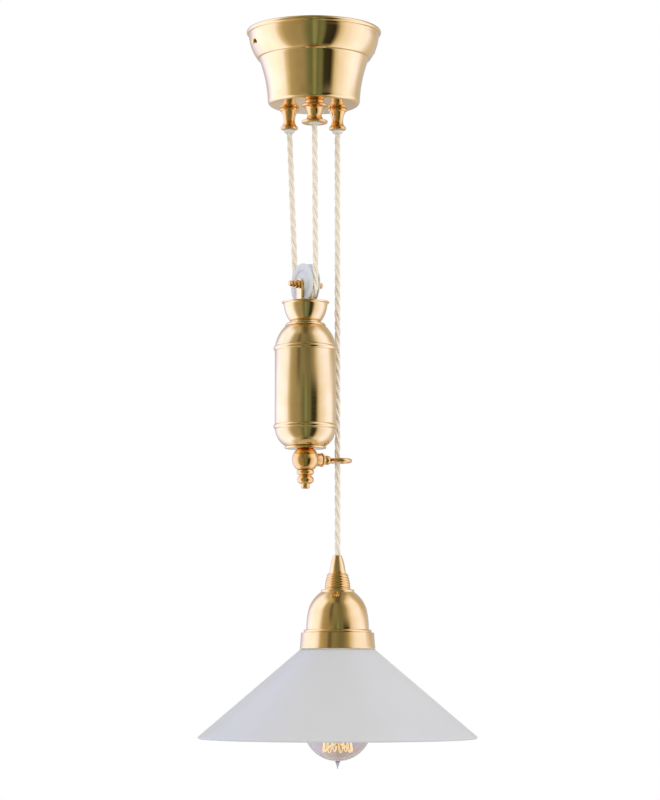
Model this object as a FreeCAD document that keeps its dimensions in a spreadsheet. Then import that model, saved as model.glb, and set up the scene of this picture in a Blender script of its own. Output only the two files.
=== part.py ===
import FreeCAD, Part
import Sketcher
import collections
import math
import os

# Rise and fall pendant: a spun ceiling cup with three cord nozzles, a counterweight hung in a loop
# of the twisted flex, and a lamp with an opal cone shade. Millimetres, +Z up, z = 0 at the ceiling,
# x = y = 0 on the ceiling cup's axis. Every outline runs down the outside and up the inside.

SIZES = {
    # hanging heights, down from the ceiling
    "canopyDepth": 66.0, "pulleyDrop": 221.8, "coneDrop": 452.0,
    # flex and fits
    "cordRadius": 2.5, "cordClear": 0.3, "bodyClear": 0.3, "runFit": 0.05, "threadFit": 0.1,
    # ceiling cup
    "canopyWall": 1.0, "canopyRim": 56.1, "canopyBead": 4.2, "canopyRidge": 48.6,
    "canopyRidgeDrop": 25.0, "canopyWaist": 47.5, "canopyFoot": 39.6, "canopyCorner": 3.8,
    "screwAngle": 21.0, "sideScrewDrop": 14.0, "sideScrewSeat": 55.1, "sideScrewRadius": 1.5,
    "sideScrewHead": 2.4, "sideScrewHigh": 1.7, "sideScrewEdge": 0.6, "sideScrewLong": 9.0,
    # ceiling strap and load plate
    "strapWide": 18.0, "strapThick": 2.0, "strapReach": 49.2, "strapEar": 20.0, "strapHole": 2.6,
    "strapHolePitch": 70.0, "strapCentreHole": 5.25, "plateRadius": 34.0, "plateThick": 2.0,
    # nozzles
    "nozzlePitch": 24.0, "nozzleAngle": 2.0, "nozzleLong": 18.5, "nozzleFlange": 8.4,
    "nozzleWaist": 4.9, "nozzleFlare": 7.4, "nozzleStem": 5.0, "nozzleDisc": 2.4, "nozzleStep": 3.4,
    "nozzleNeck": 7.5, "nozzleBell": 2.6, "nutHigh": 3.0, "nutAcross": 8.0,
    "stemShow": 1.0, "bushLip": 3.0, "bushLipRadius": 4.6, "bushSpigot": 3.9, "bushDeep": 4.5,
    "anchorLong": 21.5, "anchorCap": 8.0, "anchorShoulder": 11.35, "anchorWaist": 6.0,
    "anchorBell": 11.35, "anchorBushRadius": 5.2, "anchorBushShow": 0.8, "anchorTuck": 1.5,
    "anchorBand": 2.6, "anchorDiscTop": 4.0, "anchorDiscFoot": 5.8, "anchorBandFoot": 7.6,
    "anchorNeckTop": 7.8, "anchorNeckFoot": 5.2, "anchorBellHigh": 2.2, "anchorBushDeep": 6.5,
    # ferrule and terminals inside the ceiling cup
    "ferruleRadius": 6.0, "ferruleHigh": 8.0,
    "terminalX": 20.5, "terminalY": -13.5, "terminalLong": 20.0, "terminalWide": 15.0,
    "terminalHigh": 14.0, "terminalWell": 2.2, "terminalScrew": 1.9, "terminalPitch": 9.0,
    "tailRise": 28.0,
    # ceiling sheave
    "sheaveRise": 30.0, "wheelHalf": 4.3, "webRecess": 0.9, "hubBoss": 2.2, "hubStep": 3.4,
    "rimStep": 3.6, "rimDeep": 5.0, "bedRise": 0.3, "hubRadius": 3.8, "axleRadius": 2.0,
    "cheekGap": 0.6, "cheekThick": 1.6, "cheekTop": 6.5, "cheekFoot": 11.0, "clipRadius": 3.4,
    "clipThick": 1.2,
    # counterweight: place, yoke, cup
    "weightPull": 3.8, "wheelRadius": 16.5, "pulleyFlange": 1.5, "strapHalf": 4.0,
    "yokeThick": 1.8, "yokeTop": 4.5, "cupDrop": 14.7, "cupHigh": 16.8, "cupRim": 20.25,
    "cupFloor": 13.4, "cupSwell": 1.0, "cupWall": 1.5, "axleEnd": 16.4, "axleNut": 3.6, "axleNutLong": 3.9,
    "axleCap": 2.8, "axleCapLong": 2.7, "axleTip": 2.35,
    # counterweight: shell, ballast and foot
    "collarHigh": 3.9, "collarNeck": 12.4, "collarDisc": 17.4, "domeHigh": 17.4,
    "domeSwell": 1.7, "lowDomeHigh": 15.0, "lowDomeSwell": 2.2,
    "domeShoulder": 16.8, "weightRadius": 26.1, "weightWall": 1.2, "beadHigh": 4.0,
    "tubeLong": 62.8, "footHigh": 1.8, "footRadius": 17.6, "rodRadius": 2.5, "ballRadius": 11.35,
    "ballHigh": 17.6, "finialBead": 4.6, "finialNeck": 4.8, "finialBulb": 7.2, "finialBulbHigh": 7.6,
    "finialStep": 9.4, "finialTip": 12.0,
    "slugRadius": 24.5, "slugSpare": 1.6, "slugGap": 0.2, "endSlugTop": 15.5, "endSlugFoot": 18.5,
    # guide ring
    "bossRadius": 5.5, "bossReach": 15.0, "shankDeep": 8.0, "lockRadius": 5.9, "lockLong": 2.2,
    "shankRadius": 2.0, "knuckleRadius": 4.0, "knuckleReach": 21.5, "ringReach": 34.1,
    "ringRadius": 8.95, "ringWire": 1.9,
    # lamp: cord grip, collar, dome and gallery
    "coneHigh": 15.3, "coneTip": 3.9, "coneFoot": 7.0, "coneSwell": 0.5, "gripHigh": 3.8,
    "nippleRadius": 5.0, "nippleBore": 3.4, "nippleLong": 38.0, "collarTall": 13.7,
    "ribbedTop": 8.6, "ribbedFoot": 10.9, "lampWall": 1.0, "domeTop": 14.2, "domeMid": 24.7,
    "domeMidDrop": 16.5, "domeRadius": 26.65, "domeDrop": 34.0, "stepWide": 2.1,
    "stepHigh": 2.5, "galleryLedge": 2.3, "galleryFlare": 0.85, "galleryHigh": 13.3,
    "galleryLip": 0.4,
    # lampholder and shade
    "holderRadius": 19.6, "holderTop": 8.0, "holderDrop": 8.5, "holderShoulder": 6.0,
    "holderHigh": 52.0, "shellRadius": 13.5, "shellWall": 0.5, "shellHigh": 31.2,
    "contactHalf": 3.5, "contactThick": 0.8, "ringNutRadius": 26.5, "ringNutHigh": 4.0,
    "gasketThick": 0.8, "shadeHole": 20.3, "shadeTop": 32.0, "shadeRadius": 118.5,
    "shadeHigh": 73.6, "shadeWall": 3.0,
    # bulb
    "capRadius": 13.1, "capHigh": 26.0, "buttonRadius": 4.6, "buttonHigh": 1.4,
    "insulatorHigh": 1.8, "bulbWall": 0.8, "bulbNeck": 14.4, "bulbNeckHigh": 10.0,
    "bulbTuck": 8.0, "neckHollow": 2.4, "bulbRadius": 29.2, "bulbDrop": 55.4,
    "bulbShoulder": 24.9, "pipRadius": 2.4, "pipLong": 6.2,
    "stemRadius": 3.2, "stemFoot": 7.0, "stemFlare": 9.0, "stemPinch": 24.0,
    "stemTaper": 29.0, "stemRod": 1.6, "stemButton": 2.4, "stemLong": 79.0, "cageRadius": 12.5,
    "cageHigh": 41.0, "cageWire": 0.35, "cageDrop": 36.0,
}
RIBS = 5          # turned ribs on the lamp's collar
CAGE_LOOPS = 8    # hairpins of the carbon filament
NUT_SIDES = 6

doc = FreeCAD.newDocument("RiseAndFallPendant")
sheet = doc.addObject("Spreadsheet::Sheet", "Sizes")
for row, (alias, number) in enumerate(SIZES.items(), start=1):
    sheet.set(f"A{row}", alias)
    sheet.set(f"B{row}", str(number))
    sheet.setAlias(f"B{row}", alias)
doc.recompute()

nodes = []   # the objects that become files


class Size:
    """A number together with its formula on the sheet."""

    def __init__(self, number, formula):
        self.number = number
        self.formula = formula

    def __add__(self, other):
        other = sized(other)
        return Size(self.number + other.number, f"({self.formula} + {other.formula})")

    def __sub__(self, other):
        other = sized(other)
        return Size(self.number - other.number, f"({self.formula} - {other.formula})")

    def __mul__(self, other):
        other = sized(other)
        return Size(self.number * other.number, f"({self.formula} * {other.formula})")

    def __truediv__(self, other):
        other = sized(other)
        return Size(self.number / other.number, f"({self.formula} / {other.formula})")

    def __radd__(self, other):
        return sized(other) + self

    def __rsub__(self, other):
        return sized(other) - self

    def __rmul__(self, other):
        return self * other

    def __neg__(self):
        return Size(-self.number, f"(0 - {self.formula})")


def sized(value):
    return value if isinstance(value, Size) else Size(float(value), f"{float(value):.6f}")


def cosine(angle):
    return Size(math.cos(math.radians(angle.number)), f"cos({angle.formula})")


def sine(angle):
    return Size(math.sin(math.radians(angle.number)), f"sin({angle.formula})")


def bearing(across, along):
    turned_by = math.degrees(math.atan2(along.number, across.number))
    return Size(turned_by, f"(atan2({along.formula}; {across.formula}) / 1deg)")


def span(across, along):
    return Size(math.hypot(across.number, along.number), f"hypot({across.formula}; {along.formula})")


def root(square):
    return Size(math.sqrt(square.number), f"sqrt({square.formula})")


s = {alias: Size(number, f"Sizes.{alias}") for alias, number in SIZES.items()}

# Corner of an outline: its place, how far the edge that reaches it swells out of the material
# (negative hollows it), and which way the inside of a shell lies from it.
Corner = collections.namedtuple("Corner", "radius height swell inward upward")


def corner(radius, height, swell=0):
    return Corner(sized(radius), sized(height), sized(swell), 0, 0)


def side(radius, height, swell=0):
    return Corner(sized(radius), sized(height), sized(swell), 1, 0)


def floor(radius, height, swell=0):
    return Corner(sized(radius), sized(height), sized(swell), 0, 1)


def roof(radius, height, swell=0):
    return Corner(sized(radius), sized(height), sized(swell), 0, -1)


def elbow(radius, height, swell=0):
    return Corner(sized(radius), sized(height), sized(swell), 1, -1)


def shell(outer, wall):
    """The outer corners, then the same ones a wall further in, in the opposite order."""
    inner = []
    swell = sized(0)
    for spot in reversed(outer):
        inner.append(corner(spot.radius - wall * spot.inward, spot.height + wall * spot.upward, swell))
        swell = -spot.swell
    return list(outer) + inner


def origin_plane(body, role):
    return [feature for feature in body.Origin.OriginFeatures if feature.Role == role][0]


def new_body(label):
    body = doc.addObject("PartDesign::Body", label)
    body.Label = label
    return body


def new_sketch(body, name, plane):
    sketch = body.newObject("Sketcher::SketchObject", name)
    sketch.AttachmentSupport = (origin_plane(body, plane), [""])
    sketch.MapMode = "FlatFace"
    return sketch


def draw(sketch, outline):
    """A closed chain of lines and arcs whose corners and radii follow the sheet."""
    places = [FreeCAD.Vector(spot.radius.number, spot.height.number, 0) for spot in outline]
    first = sketch.GeometryCount
    edges, bends = [], []
    for index, spot in enumerate(outline):
        start, end = places[index - 1], places[index]
        if spot.swell.number == 0:
            edges.append(Part.LineSegment(start, end))
            continue
        before = outline[index - 1]
        chord = span(spot.radius - before.radius, spot.height - before.height)
        across = (end - start) / chord.number
        bulge = FreeCAD.Vector(-across.y, across.x, 0) * spot.swell.number
        edges.append(Part.Arc(start, (start + end) / 2 + bulge, end))
        swell = spot.swell if spot.swell.number > 0 else -spot.swell
        bends.append((first + index, (chord * chord / 4 + swell * swell) / (swell * 2)))
    sketch.addGeometry(edges, False)

    def end_at(edge, place):
        return 1 if sketch.getPoint(edge, 1).distanceToPoint(place) < 1e-6 else 2

    rules, formulas = [], []
    for index, spot in enumerate(outline):
        edge = first + index
        following = first + (index + 1) % len(outline)
        near = end_at(edge, places[index])
        rules.append(Sketcher.Constraint("Coincident", edge, near, following,
                                         end_at(following, places[index])))
        if spot.radius.number == 0:
            rules.append(Sketcher.Constraint("PointOnObject", edge, near, -2))
        else:
            formulas.append((len(rules), spot.radius.formula))
            rules.append(Sketcher.Constraint("DistanceX", -1, 1, edge, near, spot.radius.number))
        if spot.height.number == 0:
            rules.append(Sketcher.Constraint("PointOnObject", edge, near, -1))
        else:
            formulas.append((len(rules), spot.height.formula))
            rules.append(Sketcher.Constraint("DistanceY", -1, 1, edge, near, spot.height.number))
    for edge, radius in bends:
        formulas.append((len(rules), radius.formula))
        rules.append(Sketcher.Constraint("Radius", edge, radius.number))
    offset = sketch.ConstraintCount
    sketch.addConstraint(rules)
    for index, formula in formulas:
        sketch.setExpression(f"Constraints[{offset + index}]", formula)


def draw_circle(sketch, across, along, radius):
    place = FreeCAD.Vector(across.number, along.number, 0)
    edge = sketch.addGeometry(Part.Circle(place, FreeCAD.Vector(0, 0, 1), radius.number), False)
    offset = sketch.ConstraintCount
    rules, formulas = [Sketcher.Constraint("Radius", edge, radius.number)], [(0, radius.formula)]
    for axis, kind, distance in ((-2, "DistanceX", across), (-1, "DistanceY", along)):
        if abs(distance.number) < 1e-9:
            rules.append(Sketcher.Constraint("PointOnObject", edge, 3, axis))
        else:
            formulas.append((len(rules), distance.formula))
            rules.append(Sketcher.Constraint(kind, -1, 1, edge, 3, distance.number))
    sketch.addConstraint(rules)
    for index, formula in formulas:
        sketch.setExpression(f"Constraints[{offset + index}]", formula)


def place(piece, x=0, y=0, z=0, turn=None):
    """Binds the piece's place, and its turn about the vertical, to the sheet."""
    for axis, distance in (("x", x), ("y", y), ("z", z)):
        piece.setExpression(f"Placement.Base.{axis}", sized(distance).formula)
    if turn is not None:
        piece.Placement.Rotation = FreeCAD.Rotation(FreeCAD.Vector(0, 0, 1), 10)
        piece.setExpression("Placement.Rotation.Angle", turn.formula)


def revolve(body, outline, name="Turned", axis="V_Axis"):
    sketch = new_sketch(body, name + "Outline", "XZ_Plane")
    draw(sketch, outline)
    turned_form = body.newObject("PartDesign::Revolution", name)
    turned_form.Profile = sketch
    turned_form.ReferenceAxis = (sketch, [axis])
    turned_form.Angle = 360
    return turned_form


def pad(body, name, plane, outline, thickness, holes=(), midplane=False):
    sketch = new_sketch(body, name + "Outline", plane)
    draw(sketch, outline)
    for across, along, radius in holes:
        draw_circle(sketch, sized(across), sized(along), sized(radius))
    form = body.newObject("PartDesign::Pad", name)
    form.Profile = sketch
    form.setExpression("Length", thickness.formula)
    form.Midplane = midplane
    return form


def drill(body, name, plane, circles, midplane=False):
    """Round holes right through the body, cut from one of its own planes."""
    sketch = new_sketch(body, name + "Circles", plane)
    for across, along, radius in circles:
        draw_circle(sketch, sized(across), sized(along), sized(radius))
    hole = body.newObject("PartDesign::Pocket", name)
    hole.Profile = sketch
    hole.Type = "ThroughAll"
    hole.Midplane = midplane
    return hole


def node(piece):
    nodes.append(piece)
    return piece


def turned(label, outline, x=0, y=0, z=0, turn=None, lying=False, keep=True):
    """A lathe-turned piece. Lying, its axis is level and its corners are (along, radius)."""
    body = new_body(label)
    revolve(body, outline, axis="H_Axis" if lying else "V_Axis")
    place(body, x, y, z, turn)
    return node(body) if keep else body


def box_outline(left, right, low, high):
    return [corner(left, high), corner(right, high), corner(right, low), corner(left, low)]


def hexagon(half_across):
    """A nut's outline: six corners round the axis, with flats half_across from it."""
    reach = half_across / cosine(Size(30, "30"))
    ring = []
    for index in range(NUT_SIDES):
        angle = Size(30 - 60 * index, f"({30 - 60 * index})")
        ring.append(corner(reach * cosine(angle), reach * sine(angle)))
    return ring


def nut(label, half_across, bore, thickness, x, y, z):
    body = new_body(label)
    pad(body, "Flats", "XY_Plane", hexagon(half_across), thickness, [(0, 0, bore)])
    place(body, x, y, z)
    return body


def group(label, pieces):
    """Loose identical pieces that share one node."""
    together = doc.addObject("Part::Compound", label)
    together.Label = label
    together.Links = pieces
    return node(together)


def tube(label, path, radius):
    """A round cord along a path of straight runs and tangent arcs."""
    start = path.Edges[0]
    ring = Part.Circle(start.Vertexes[0].Point, start.tangentAt(start.FirstParameter), radius)
    cord = doc.addObject("Part::Feature", label)
    cord.Label = label
    cord.Shape = path.makePipeShell([Part.Wire(ring.toShape())], True, True)
    bent = math.pi * radius ** 2 * path.Length
    print(f"{label}: {path.Length:.1f} mm long, volume {cord.Shape.Volume / bent:.4f} of section x length")
    return node(cord)


def point(x, y, z):
    return FreeCAD.Vector(x.number, y.number, z.number)


def half_turn(start, end, rise):
    """A half circle from start to end, bulging up by rise (down when it is negative)."""
    top = (start + end) / 2 + FreeCAD.Vector(0, 0, rise)
    return Part.Arc(start, top, end).toShape()


def run(start, end):
    return Part.LineSegment(start, end).toShape()


# ---------------------------------------------------------------- shared places
canopy_floor = -s["canopyDepth"]
plate_low = canopy_floor + s["canopyWall"]
plate_top = plate_low + s["plateThick"]
stem_top = plate_top + s["nutHigh"] + s["stemShow"]


def nozzle_angle(clock):
    return s["nozzleAngle"] + clock


right_x = s["nozzlePitch"] * cosine(nozzle_angle(30))
right_y = s["nozzlePitch"] * sine(nozzle_angle(30))
left_x = s["nozzlePitch"] * cosine(nozzle_angle(150))
left_y = s["nozzlePitch"] * sine(nozzle_angle(150))
anchor_x = s["nozzlePitch"] * cosine(nozzle_angle(270))
anchor_y = s["nozzlePitch"] * sine(nozzle_angle(270))

# the counterweight hangs between the anchor and left nozzles, drawn a little to the lamp's cord
middle_x = (anchor_x + left_x) / 2
middle_y = (anchor_y + left_y) / 2
pull_angle = bearing(right_x - middle_x, right_y - middle_y)
weight_x = middle_x + s["weightPull"] * cosine(pull_angle)
weight_y = middle_y + s["weightPull"] * sine(pull_angle)
pulley_line = bearing(anchor_x - left_x, anchor_y - left_y)
guide_line = bearing(right_x - weight_x, right_y - weight_y)
guide_reach = s["ringReach"]
pulley_z = -s["pulleyDrop"]

# the ceiling sheave spans the left and right nozzles
sheave_x = (left_x + right_x) / 2
sheave_y = (left_y + right_y) / 2
sheave_line = bearing(right_x - left_x, right_y - left_y)
sheave_radius = span(right_x - left_x, right_y - left_y) / 2
sheave_z = canopy_floor + s["sheaveRise"]
cord_hole = s["cordRadius"] + s["cordClear"]
axle_hole = s["axleRadius"] + s["runFit"]


# ---------------------------------------------------------------- ceiling cup
def ceiling_cup():
    wall, turn = s["canopyWall"], s["screwAngle"]
    ridge_z = -s["canopyRidgeDrop"]
    outer = [
        side(s["canopyRim"], 0),
        side(s["canopyRim"], -s["canopyBead"], 1.9),
        side(s["canopyRidge"], ridge_z, 1.7),
        side(s["canopyWaist"], ridge_z - wall),
        side(s["canopyFoot"], canopy_floor + s["canopyCorner"], -1.5),
        floor(s["canopyFoot"] - s["canopyCorner"], canopy_floor, s["canopyCorner"] * 0.29),
        floor(0, canopy_floor),
    ]
    cup = new_body("canopy_cup")
    revolve(cup, shell(outer, wall), "Spun")
    holes = []
    for clock in (30, 150, 270):
        angle = nozzle_angle(clock) - turn
        holes.append((s["nozzlePitch"] * cosine(angle), s["nozzlePitch"] * sine(angle),
                      s["nozzleStem"] + s["threadFit"]))
    drill(cup, "NozzleHoles", "XY_Plane", holes, midplane=True)
    drill(cup, "SideScrewHoles", "YZ_Plane",
          [(0, -s["sideScrewDrop"], s["sideScrewRadius"] + s["threadFit"])], midplane=True)
    place(cup, turn=turn)
    node(cup)

    screws = []
    head, seat, shank = s["sideScrewHead"], s["sideScrewSeat"], s["sideScrewRadius"]
    for index in (0, 1):
        outline = [
            corner(seat - s["sideScrewLong"], 0), corner(seat - s["sideScrewLong"], shank),
            corner(seat, shank), corner(seat, head), corner(seat + s["sideScrewEdge"], head),
            corner(seat + s["sideScrewHigh"], 0.5, 0.2), corner(seat + s["sideScrewHigh"], 0),
        ]
        screws.append(turned(f"side_screw_{index}", outline, z=-s["sideScrewDrop"],
                             turn=turn + 180 * index, lying=True, keep=False))
    group("canopy_side_screws", screws)


def ceiling_strap():
    wide, thick, reach = s["strapWide"] / 2, s["strapThick"], s["strapReach"]
    bore = s["sideScrewRadius"] + s["threadFit"]
    strap = new_body("ceiling_strap")
    pad(strap, "Bar", "XZ_Plane", [
        corner(-reach, 0), corner(reach, 0), corner(reach, -s["strapEar"]),
        corner(reach - thick, -s["strapEar"]), corner(reach - thick, -thick),
        corner(thick - reach, -thick), corner(thick - reach, -s["strapEar"]),
        corner(-reach, -s["strapEar"]),
    ], wide * 2, midplane=True)
    drill(strap, "CeilingHoles", "XY_Plane", [
        (s["strapHolePitch"] / 2, 0, s["strapHole"]),
        (-s["strapHolePitch"] / 2, 0, s["strapHole"]),
        (0, 0, s["strapCentreHole"]),
    ], midplane=True)
    drill(strap, "EarHoles", "YZ_Plane", [(0, -s["sideScrewDrop"], bore)], midplane=True)
    place(strap, turn=s["screwAngle"])
    node(strap)


def load_plate():
    """Steel disc on the cup's floor that the nozzles and the sheave's bracket are fixed to."""
    plate = new_body("load_plate")
    revolve(plate, [corner(0, plate_top), corner(s["plateRadius"], plate_top),
                    corner(s["plateRadius"], plate_low), corner(0, plate_low)], "Disc")
    bore = s["nozzleStem"] + s["threadFit"]
    drill(plate, "NozzleHoles", "XY_Plane",
          [(right_x, right_y, bore), (left_x, left_y, bore), (anchor_x, anchor_y, bore)],
          midplane=True)
    node(plate)


def nozzles():
    seat, stem, hole = canopy_floor, s["nozzleStem"], cord_hole + 0.2
    bushes = []
    mouth = seat - s["nozzleLong"]
    spigot = s["bushSpigot"] + s["threadFit"]
    for label, x, y in (("left", left_x, left_y), ("right", right_x, right_y)):
        turned(label + "_cord_nozzle", [
            corner(hole, stem_top), corner(stem, stem_top), corner(stem, seat),
            corner(s["nozzleFlange"] - 0.6, seat),
            corner(s["nozzleFlange"] - 0.4, seat - s["nozzleDisc"], 0.5),
            corner(s["nozzleFlange"] - 1.6, seat - s["nozzleStep"], -0.2),
            corner(s["nozzleWaist"], mouth + s["nozzleNeck"], -0.5),
            corner(s["nozzleFlare"] - 0.5, mouth + s["nozzleBell"], -0.6),
            corner(s["nozzleFlare"] - 0.5, mouth, 0.6),
            corner(spigot, mouth), corner(spigot, mouth + s["bushDeep"]),
            corner(hole, mouth + s["bushDeep"]),
        ], x, y)
        bushes.append(turned(label + "_bush", [
            corner(cord_hole, mouth + s["bushDeep"]), corner(s["bushSpigot"], mouth + s["bushDeep"]),
            corner(s["bushSpigot"], mouth), corner(s["bushLipRadius"], mouth),
            corner(s["bushLipRadius"] - 0.8, mouth - s["bushLip"], 0.7),
            corner(cord_hole + 0.5, mouth - s["bushLip"], 0.2),
            corner(cord_hole, mouth - s["bushLip"] + 1.2, 0.3),
        ], x, y, keep=False))

    mouth = seat - s["anchorLong"] + s["anchorTuck"]
    inner = s["anchorBushRadius"] + s["threadFit"]
    turned("anchor_cord_nozzle", [
        corner(hole, stem_top), corner(stem, stem_top), corner(stem, seat),
        corner(s["anchorCap"] - 0.5, seat), corner(s["anchorCap"], seat - s["anchorBand"], 0.4),
        corner(s["anchorShoulder"] - 1.0, seat - s["anchorDiscTop"], -0.4),
        corner(s["anchorShoulder"] - 0.8, seat - s["anchorDiscFoot"], 0.7),
        corner(s["anchorCap"] - 0.4, seat - s["anchorBandFoot"], -0.3),
        corner(s["anchorWaist"], mouth + s["anchorNeckTop"], -0.4),
        corner(s["anchorWaist"] + 0.5, mouth + s["anchorNeckFoot"], -0.2),
        corner(s["anchorBell"] - 0.7, mouth + s["anchorBellHigh"], -1.0),
        corner(s["anchorBell"] - 0.9, mouth, 0.6),
        corner(inner + 1.2, mouth, -0.5), corner(inner, mouth + 1.6),
        corner(inner, mouth + s["anchorBushDeep"]), corner(hole, mouth + s["anchorBushDeep"]),
    ], anchor_x, anchor_y)
    low = mouth - s["anchorBushShow"]
    top, radius = mouth + s["anchorBushDeep"], s["anchorBushRadius"]
    bushes.append(turned("anchor_bush", [
        corner(cord_hole, top), corner(radius, top), corner(radius, mouth + 1.0),
        corner(radius - 1.0, low, 0.4), corner(cord_hole + 0.6, low, 0.3),
        corner(cord_hole, low + 1.2, 0.3),
    ], anchor_x, anchor_y, keep=False))
    group("nozzle_bushes", bushes)

    lock_nuts = []
    for label, x, y in (("left", left_x, left_y), ("right", right_x, right_y),
                        ("anchor", anchor_x, anchor_y)):
        lock_nuts.append(nut(label + "_nut", s["nutAcross"], stem + s["threadFit"], s["nutHigh"],
                             x, y, plate_top))
    group("nozzle_lock_nuts", lock_nuts)


def cord_ferrule():
    """The flex's anchored end is held by this crimped ferrule, on top of its nozzle's stem."""
    low, high, radius = stem_top, stem_top + s["ferruleHigh"], s["ferruleRadius"]
    turned("cord_ferrule", [
        corner(cord_hole, high), corner(radius - 1.0, high), corner(radius, high - 1.0, 0.3),
        corner(radius, high - 2.6), corner(radius, low + 2.6, -0.8), corner(radius, low),
        corner(cord_hole, low),
    ], anchor_x, anchor_y)


def terminals():
    """Two-pole porcelain terminal block on the load plate, with its screws."""
    long, wide, high = s["terminalLong"], s["terminalWide"], s["terminalHigh"]
    block = new_body("terminal_block")
    pad(block, "Block", "XY_Plane", box_outline(-long / 2, long / 2, -wide / 2, wide / 2), high)
    wells = []
    for pole in (-0.5, 0.5):
        for end in (-0.5, 0.5):
            wells.append((s["terminalPitch"] * end + 1.5, s["terminalPitch"] * pole, s["terminalWell"]))
    sketch = new_sketch(block, "WellCircles", "XY_Plane")
    for across, along, radius in wells:
        draw_circle(sketch, across, along, radius)
    pocket = block.newObject("PartDesign::Pocket", "Wells")
    pocket.Profile = sketch
    pocket.Type = "ThroughAll"
    pocket.Reversed = True
    place(block, s["terminalX"], s["terminalY"], plate_top)
    node(block)

    screws = []
    top = high - 2.5
    for index, (across, along, _) in enumerate(wells):
        radius = s["terminalScrew"]
        outline = [corner(0, top), corner(radius, top), corner(radius, 0), corner(0, 0)]
        screws.append(turned(f"terminal_screw_{index}", outline, s["terminalX"] + across,
                             s["terminalY"] + along, plate_top, keep=False))
    group("terminal_screws", screws)


# ---------------------------------------------------------------- sheave and pulley wheels
def wheel_outline(centreline, hub):
    """A grooved wheel lying on its axis: the groove clears the cord all round."""
    half, rim = s["wheelHalf"], centreline + s["pulleyFlange"]
    deep = cord_hole + 0.05
    rise = s["bedRise"]
    bed, bed_half, lip = centreline - rise, root(deep * deep - rise * rise), cord_hole + rise
    web, boss, hub_foot = half - s["webRecess"], hub + s["hubBoss"], hub + s["hubStep"]
    rim_foot, rim_edge = centreline - s["rimDeep"], centreline - s["rimStep"]
    return [
        corner(-half, hub), corner(-half, boss), corner(-web, hub_foot, -0.2),
        corner(-web, rim_foot), corner(-half, rim_edge, 0.2),
        corner(-lip - 0.7, rim, 0.5), corner(-lip, rim), corner(-bed_half, bed),
        corner(bed_half, bed, rise - deep), corner(lip, rim),
        corner(lip + 0.7, rim), corner(half, rim_edge, 0.5),
        corner(web, rim_foot, 0.2), corner(web, hub_foot),
        corner(half, boss, -0.2), corner(half, hub),
    ]


def cheeks(body, half_gap, thick, foot_half, top, foot_z, base_thick, top_half):
    """A U of two cheeks and a base: the side view is padded, then the gap is cut out of it."""
    pad(body, "Cheeks", "XZ_Plane", [
        corner(-foot_half, foot_z), corner(-foot_half, foot_z + base_thick),
        corner(-top_half, top - top_half), corner(top_half, top - top_half, top_half * 0.98),
        corner(foot_half, foot_z + base_thick), corner(foot_half, foot_z),
    ], (half_gap + thick) * 2, [(0, 0, axle_hole)], midplane=True)
    sketch = new_sketch(body, "GapOutline", "XZ_Plane")
    wide = foot_half + 1
    draw(sketch, box_outline(-wide, wide, foot_z + base_thick, top + 1))
    gap = body.newObject("PartDesign::Pocket", "Gap")
    gap.Profile = sketch
    gap.Type = "Length"
    gap.setExpression("Length", (half_gap * 2).formula)
    gap.Midplane = True


def ceiling_sheave():
    axle_line = sheave_line + 90
    turned("sheave_wheel", wheel_outline(sheave_radius, axle_hole), sheave_x, sheave_y, sheave_z,
           axle_line, lying=True)
    half_gap = s["wheelHalf"] + s["cheekGap"]
    bracket = new_body("sheave_bracket")
    cheeks(bracket, half_gap, s["cheekThick"], s["cheekFoot"], s["cheekTop"], plate_top - sheave_z,
           s["cheekThick"], s["cheekTop"])
    place(bracket, sheave_x, sheave_y, sheave_z, sheave_line)
    node(bracket)
    outer = half_gap + s["cheekThick"]
    end, pin, clip = outer + s["clipThick"] + 1.2, s["axleRadius"], s["clipRadius"]
    turned("sheave_axle", [
        corner(-end, 0), corner(-end, pin - 0.4), corner(0.4 - end, pin), corner(end - 0.4, pin),
        corner(end, pin - 0.4), corner(end, 0),
    ], sheave_x, sheave_y, sheave_z, axle_line, lying=True)
    clips = []
    for index, start in enumerate((outer, -outer - s["clipThick"])):
        stop = start + s["clipThick"]
        outline = [corner(start, pin + s["runFit"]), corner(start, clip), corner(stop, clip),
                   corner(stop, pin + s["runFit"])]
        clips.append(turned(f"sheave_clip_{index}", outline, sheave_x, sheave_y, sheave_z, axle_line,
                            lying=True, keep=False))
    group("sheave_axle_clips", clips)


# ---------------------------------------------------------------- counterweight
cup_top = pulley_z - s["cupDrop"]
cup_low = cup_top - s["cupHigh"]
yoke_low = cup_low + s["cupWall"]
dome_top = cup_low - s["collarHigh"]
bead_top = dome_top - s["domeHigh"]
tube_top = bead_top - s["beadHigh"]
tube_low = tube_top - s["tubeLong"]
lower_bead_low = tube_low - s["beadHigh"]
foot_top = lower_bead_low - s["lowDomeHigh"]
foot_low = foot_top - s["footHigh"]
ball_low = foot_low - s["ballHigh"]
ball_z = foot_low - (s["ballHigh"] + 0.5) / 2
rod_hole = s["rodRadius"] + s["threadFit"]


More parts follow.
